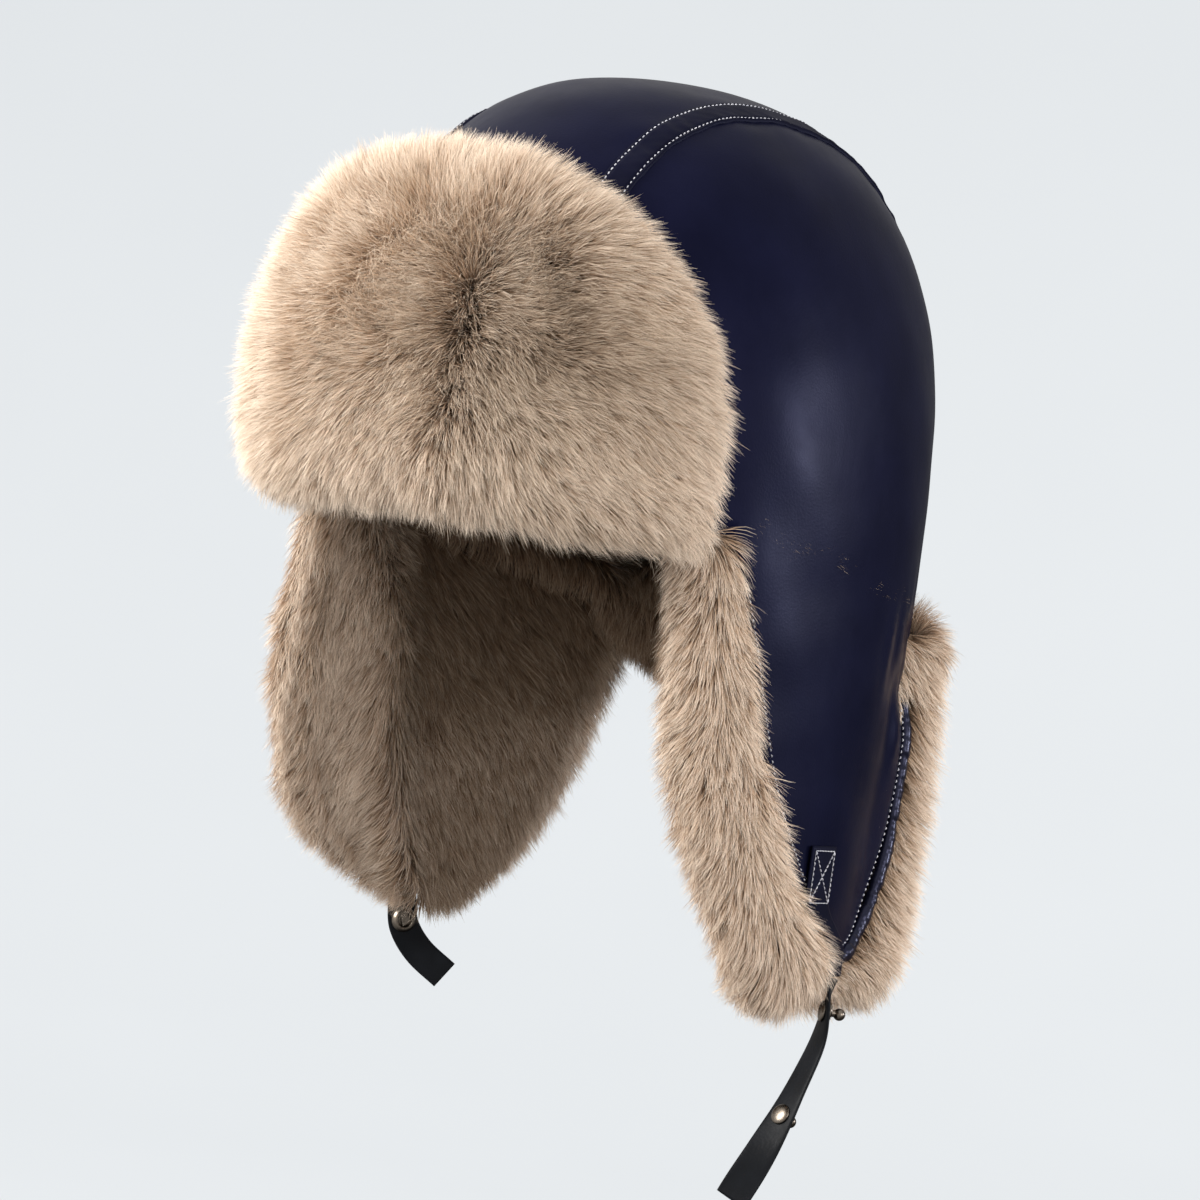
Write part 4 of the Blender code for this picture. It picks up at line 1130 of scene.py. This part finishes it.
def nape_section(turn):
    """(inset, height) control points in mm round the nape's pad at each angle.

    Behind the flaps the pad hooks out under the leather's edge and lies against its outside.
    In front of that it is a low band along the inside of the crown's edge.
    """
    edge, low = crown_edge(turn) / MM, crown_edge(turn, 16 * MM) / MM + 2
    behind = behind_flaps(turn)
    dip = 11 * smooth_step(turn, 134, 150)
    hook = [(11, 10), (10, 2), (7, -5.5), (-1.5, -5.5), (-1.8, -1.5), (-5, -1), (-10, -6 - dip / 2),
            (-9, -12 - dip), (0, -18 - dip), (12, -16 - dip), (21, -6 - dip / 2), (20, 8), (15, 11)]
    band = [(11, 6), (11, 4), (11, 3), (11, 2), (11.5, 1), (12, 0.5), (13, 0), (15, 0),
            (18, 0), (20, 1), (22, 5), (21, 9), (15, 9)]
    points = []
    for (out, up), (band_out, band_up) in zip(hook, band):
        inset = band_out + (out - band_out) * behind
        z = low + band_up + (edge + up - low - band_up) * behind
        points.append(np.stack([inset, z], -1))
    return np.stack(points + points[:1])


def make_nape_fur(materials):
    """The fur along the crown's lower edge, a fat roll behind the flaps."""
    degrees = np.linspace(FOLD_FRONT_ANGLE + 2, 360 - FOLD_FRONT_ANGLE - 2, 150)
    turn = np.where(degrees > 180, 360 - degrees, degrees)
    t = np.linspace(0, 1, 48, endpoint=False)
    section = smooth_path(nape_section(turn), t)
    inset, z = section[..., 0].T * MM, section[..., 1].T * MM
    points = head_points(degrees[:, None], z, inset)
    outside = smooth_step(-inset, -12 * MM, 2 * MM)
    over = (1 - smooth_step(t, 0.30, 0.44))[None, :, None]
    flow = -UP * (1 - over) + outward(points) * ((0.2 + 0.3 * outside)[..., None] + over)
    bare = t < 0.66 - 0.41 * behind_flaps(turn)[:, None]
    # Painted shade: the pile inside the hat is painted dark, the pile outside light.
    pad = Pad(points, flow, np.full(z.shape, 58.0), np.full(z.shape, NAPE_PILE_LENGTH),
              np.where(bare, 0.0, 1.0), 0.12 + 0.76 * outside, flip=True)
    add_fur("nape", pad, "crown", materials, density=3.0, seed=107)


# --- straps and snaps ---------------------------------------------------------------------

def strap_frames(hand, route, places):
    """Centres, outward normals and directions along a hanging strap."""
    top = head_points(hand * STRAP_ANGLE, STRAP_TOP, ANCHOR_INSET)

    def centre(at):
        return top + smooth_path(route, at)[..., :3] * MM * (-hand, 1, -1)

    step = 0.02
    run = unit(centre(places + step) - centre(places - step))
    away = head_points(hand * STRAP_ANGLE, 0.0, -1.0) - head_points(hand * STRAP_ANGLE, 0.0)
    angle = math.atan2(away[1], away[0]) + np.radians(hand * smooth_path(route, places)[..., 3])
    normal = np.stack([np.cos(angle), np.sin(angle), 0 * angle], axis=-1)
    normal = unit(normal - run * dot(normal, run))
    return centre(places), normal, run


def strap_section():
    """Half width and half thickness factors round a strap's rounded section."""
    t = np.linspace(0, 2 * np.pi, 20, endpoint=False)
    return power(np.cos(t), 0.35), power(np.sin(t), 0.75)


def make_strap(name, hand, route, body, materials):
    """A hanging strap with slightly rounded corners; its CAD node has its body's name."""
    square = 120
    places = np.concatenate([np.linspace(0, 0.985, square), [0.993, 0.998, 1.0]])
    ends = np.concatenate([np.ones(square), [0.97, 0.9, 0.55]])[:, None, None]
    centre, normal, run = strap_frames(hand, route, places)
    across = np.cross(run, normal)
    wide, deep = strap_section()
    curl = 0.35 * MM * ripple(centre, 30 * MM, 81)
    points = centre[:, None] + across[:, None] * (wide[:, None] * STRAP_WIDTH / 2)
    points = points + normal[:, None] * (deep[:, None] * STRAP_THICKNESS / 2 * ends)
    points = points + (normal * curl[:, None])[:, None] * (wide ** 2)[:, None]
    piece = skin(name, points, materials["strap"], body, "strap_leather", body,
                 ring=True, capped=True, flip=hand < 0)
    return piece, centre


def anchor_angle(z):
    """Where the sewn end runs: straight down under its box of stitches, then back to the tip."""
    t = smooth_step(z, ANCHOR_TOP - 19 * MM, ANCHOR_BEND - 3 * MM)
    return BOX_ANGLE + (STRAP_ANGLE - BOX_ANGLE) * t


def make_anchor(side, hand, materials):
    """The strap's sewn end on the flap, wider under its box of stitches."""
    upper = np.linspace(ANCHOR_TOP, ANCHOR_BEND, 30)
    z = np.concatenate([upper, np.linspace(ANCHOR_BEND, STRAP_TOP + 0.6 * MM, 10)[1:]])
    centre = head_points(hand * anchor_angle(z), z, ANCHOR_INSET)
    out = outward(centre)
    across = unit(np.cross(-UP, out))
    wide, deep = strap_section()
    half = (8.0 - 2.0 * smooth_step(-z, -ANCHOR_TOP + 18 * MM, -ANCHOR_BEND))[:, None, None] * MM
    points = centre[:, None] + across[:, None] * (wide[:, None] * half)
    points = points + out[:, None] * (deep[:, None] * STRAP_THICKNESS / 2)
    skin(f"{side}_strap_sewn_end", points, materials["band"], f"{side}_flap", "strap_leather",
         f"{side}_strap_anchor", ring=True, capped=True, flip=hand < 0)
    make_box_stitch(side, centre, across, out, materials)


def make_box_stitch(side, centre, across, out, materials):
    """A stitched rectangle with crossed diagonals on the strap's sewn end."""
    travelled = np.concatenate([[0], np.cumsum(np.linalg.norm(np.diff(centre, axis=0), axis=1))])
    lift = STRAP_THICKNESS / 2 + THREAD_LIFT

    def on_strap(aside, down):
        spots = [np.stack([np.interp(down, travelled, field[:, k]) for k in range(3)], -1)
                 for field in (centre, across, out)]
        return spots[0] + spots[1] * aside[:, None] + spots[2] * lift

    half, top, bottom = 6.3 * MM, 1.6 * MM, 20.0 * MM
    corners = [(-half, top), (half, top), (half, bottom), (-half, bottom)]
    t = np.linspace(0, 1, 40)
    paths = []
    for a, b in ((0, 1), (1, 2), (2, 3), (3, 0), (0, 2), (1, 3)):
        (x0, y0), (x1, y1) = corners[a], corners[b]
        paths.append(on_strap(x0 + (x1 - x0) * t, y0 + (y1 - y0) * t))
    threads = stitch_mesh(f"{side}_box_stitch", paths, pitch=1.75 * MM, length=1.6 * MM, radius=0.2 * MM)
    link(f"{side}_box_stitch", threads, materials["thread"], f"{side}_flap")


def turned(name, profile, frame, body, materials, node):
    """A round piece, turned about its frame's normal, standing on a strap's face."""
    centre, normal, run = frame
    side = np.cross(run, normal)
    profile = np.array(profile) * MM
    turn = np.linspace(0, 2 * np.pi, 48, endpoint=False)
    ring = side * np.cos(turn)[:, None] + run * np.sin(turn)[:, None]
    points = centre + ring[None] * profile[:, 0, None, None] + normal * profile[:, 1, None, None]
    mesh = grid_mesh(name, points, ring=True)
    mesh.set_sharp_from_angle(angle=math.radians(35))
    piece = link(name, mesh, materials["metal"], body)
    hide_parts(node)
    return piece


def on_face(hand, route, place, face):
    """The frame of a snap part on a strap's outer (1) or inner (-1) face."""
    centre, normal, run = (field[0] for field in strap_frames(hand, route, np.array([place])))
    up = normal * face
    return centre + up * (STRAP_THICKNESS / 2 + 0.1 * MM), up, run


def stud_profile():
    """(radius, height) in mm round a ball stud: a flanged foot, a neck and a ball."""
    foot = [(0.0, -0.1), (3.3, -0.1), (3.6, 0.1), (3.6, 0.5), (3.3, 0.9), (2.0, 1.15), (1.4, 1.5),
            (1.3, 2.5)]
    start = math.asin(1.3 / 2.2)
    middle = SNAP_GAP / MM + 1.7 + 2.2 * math.cos(start)
    arc = [(2.2 * math.sin(a), middle - 2.2 * math.cos(a)) for a in np.linspace(start, math.pi, 18)]
    return foot + arc


def cap_profile(radius, height):
    """(radius, height) in mm round a low domed cap."""
    arc = [(radius * math.cos(a), 0.35 + height * math.sin(a)) for a in np.linspace(0, math.pi / 2, 12)]
    return [(0.0, -0.1), (radius - 0.3, -0.1), (radius, 0.05)] + arc


def socket_profile():
    """(radius, height) in mm round the socket: a ring with a rolled rim and a low floor."""
    return [(0.0, 0.9), (2.3, 0.9), (2.5, 1.1), (2.6, 2.3), (2.9, 2.7), (3.4, 2.85), (3.9, 2.7),
            (4.3, 2.3), (4.5, 1.8), (4.8, 1.5), (4.9, 1.1), (4.9, 0.2), (4.7, -0.1), (0.0, -0.1)][::-1]


def make_studs(materials):
    """The long strap's two ball studs and the caps behind them."""
    pieces = []
    for which, place in SNAP_STUD_PLACES.items():
        for part, face, profile, node in (("ball_stud", 1, stud_profile(), "snap_stud"),
                                          ("stud_back", -1, cap_profile(3.8, 1.1), "stud_cap")):
            frame = on_face(1, LONG_STRAP_ROUTE, place, face)
            pieces.append(turned(f"{which}_{part}", profile, frame, "left_strap", materials,
                                 f"{which}_{node}"))
    return pieces


def make_socket(materials):
    """The short strap's socket ring with its wire, and the cap behind it."""
    frame = on_face(-1, SHORT_STRAP_ROUTE, SNAP_SOCKET_PLACE, -1)
    back = on_face(-1, SHORT_STRAP_ROUTE, SNAP_SOCKET_PLACE, 1)
    turned("snap_socket_ring", socket_profile(), frame, "right_strap", materials, "snap_socket")
    turned("socket_back", cap_profile(5.4, 1.4), back, "right_strap", materials, "socket_cap")
    centre, up, run = frame
    path = centre + (up * 1.9 + np.cross(run, up) + run * np.linspace(-2.4, 2.4, 20)[:, None]) * MM
    thin = np.full(20, 0.3 * MM)
    wire = tube_points(path, np.broadcast_to(up, path.shape), thin, thin, sides=10)
    skin("socket_wire", wire, materials["metal"], "right_strap", "gunmetal", "socket_spring",
         ring=True, capped=True)


def make_straps(materials):
    """Both chin straps.  The long one is a cord that hangs from the flap's tip."""
    long_strap, centre = make_strap("long_chin_strap", 1, LONG_STRAP_ROUTE, "left_strap", materials)
    make_strap("short_chin_strap", -1, SHORT_STRAP_ROUTE, "right_strap", materials)
    studs = make_studs(materials)
    make_socket(materials)


# --- studio -------------------------------------------------------------------------------

def make_camera():
    """The camera fitted to the photo."""
    a, e, r = (math.radians(CAMERA[key]) for key in ("azimuth", "elevation", "roll"))
    back = Vector((math.sin(a) * math.cos(e), -math.cos(a) * math.cos(e), math.sin(e)))
    right = Vector((math.cos(a), math.sin(a), 0.0))
    up = back.cross(right)
    x_axis = right * math.cos(r) + up * math.sin(r)
    y_axis = up * math.cos(r) - right * math.sin(r)
    place = Vector(CAMERA["target"]) + back * CAMERA["distance"]
    data = bpy.data.cameras.new("camera")
    data.lens, data.sensor_width = CAMERA["lens"], 36.0
    data.clip_start, data.clip_end = 0.05, 60.0
    camera = bpy.data.objects.new("camera", data)
    turn = Matrix((x_axis, y_axis, back)).transposed().to_4x4()
    camera.matrix_world = Matrix.Translation(place) @ turn
    bpy.context.scene.collection.objects.link(camera)
    bpy.context.scene.camera = camera


def make_floor():
    """A pale floor well below the hat that sweeps up far behind it on every side."""
    flat, sweep, low, high = 2.4, 1.8, -0.62, 3.6
    turn = np.linspace(0, np.pi / 2, 24)
    profile = [(0.001, low)] + [(flat * t, low) for t in (0.3, 0.6, 0.9)]
    profile += [(flat + sweep * math.sin(a), low + sweep * (1 - math.cos(a))) for a in turn]
    profile += [(flat + sweep, high)]
    around = np.linspace(0, 2 * np.pi, 96, endpoint=False)
    points = np.array([[(r * math.cos(a), r * math.sin(a), z) for a in around] for r, z in profile])
    nodes = Nodes("pale_floor", Roughness=0.9, Specular_IOR_Level=0.1, Emission_Strength=0.70,
                  Emission_Color=(0.80, 0.84, 0.87, 1.0))
    nodes.colour(nodes.noise(3.0, 2), [(0.0, (0.20, 0.205, 0.21)), (1.0, (0.22, 0.225, 0.23))])
    mesh = grid_mesh("floor", points, ring=True)
    floor = bpy.data.objects.new("floor", mesh)
    mesh.materials.append(nodes.material)
    bpy.context.scene.collection.objects.link(floor)
    floor.visible_shadow = floor.visible_diffuse = floor.visible_glossy = False


def area_light(name, place, size, power_watts, colour=(1.0, 1.0, 1.0)):
    """A round soft lamp aimed at the hat."""
    data = bpy.data.lights.new(name, "AREA")
    data.shape = "DISK"
    data.size = size
    data.energy = power_watts
    data.color = colour
    lamp = bpy.data.objects.new(name, data)
    lamp.location = place
    lamp.rotation_mode = "QUATERNION"
    aim = Vector((0, 0, -0.03)) - Vector(place)
    lamp.rotation_quaternion = aim.to_track_quat("-Z", "Y")
    bpy.context.scene.collection.objects.link(lamp)


def make_lights():
    """A soft sky, brightest above the front left, a key, a side light and a rim from behind."""
    world = bpy.data.worlds.new("studio")
    bpy.context.scene.world = world
    world.use_nodes = True
    tree = world.node_tree
    background = tree.nodes["Background"]
    background.inputs["Color"].default_value = (1.0, 0.985, 0.97, 1.0)
    place = tree.nodes.new("ShaderNodeTexCoord")
    facing = tree.nodes.new("ShaderNodeVectorMath")
    facing.operation = "DOT_PRODUCT"
    facing.inputs[1].default_value = (-0.15, -0.68, 0.72)
    bright = tree.nodes.new("ShaderNodeMapRange")
    for socket, value in (("From Min", -0.7), ("From Max", 0.9), ("To Min", 0.06), ("To Max", 1.25)):
        bright.inputs[socket].default_value = value
    tree.links.new(place.outputs["Generated"], facing.inputs[0])
    tree.links.new(facing.outputs["Value"], bright.inputs["Value"])
    tree.links.new(bright.outputs["Result"], background.inputs["Strength"])
    area_light("key", (-1.05, -1.58, 0.80), 1.2, 48.0, (1.0, 0.98, 0.95))
    area_light("side", (1.9, -0.1, 0.30), 1.0, 15.0, (1.0, 0.98, 0.97))
    area_light("rim", (1.60, 1.30, 0.3), 0.4, 15.0, (0.92, 0.94, 1.0))
    bpy.context.scene.view_settings.view_transform = "Standard"


def main():
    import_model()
    make_camera()
    materials = make_materials()
    make_straps(materials)
    for side, hand in (("left", 1), ("right", -1)):
        make_side_leather(side, hand, materials)
        make_seam_band(side, hand, materials)
        make_hem(side, hand, materials)
        make_flap_stitches(side, hand, materials)
        make_anchor(side, hand, materials)
        make_flap_fur(side, hand, materials)
    make_centre_leather(materials)
    make_nape_hem(materials)
    make_lining(materials)
    make_nape_fur(materials)
    make_brim_leather(materials)
    make_brim_fur(materials)
    splay_right_flap()
    make_floor()
    make_lights()


main()
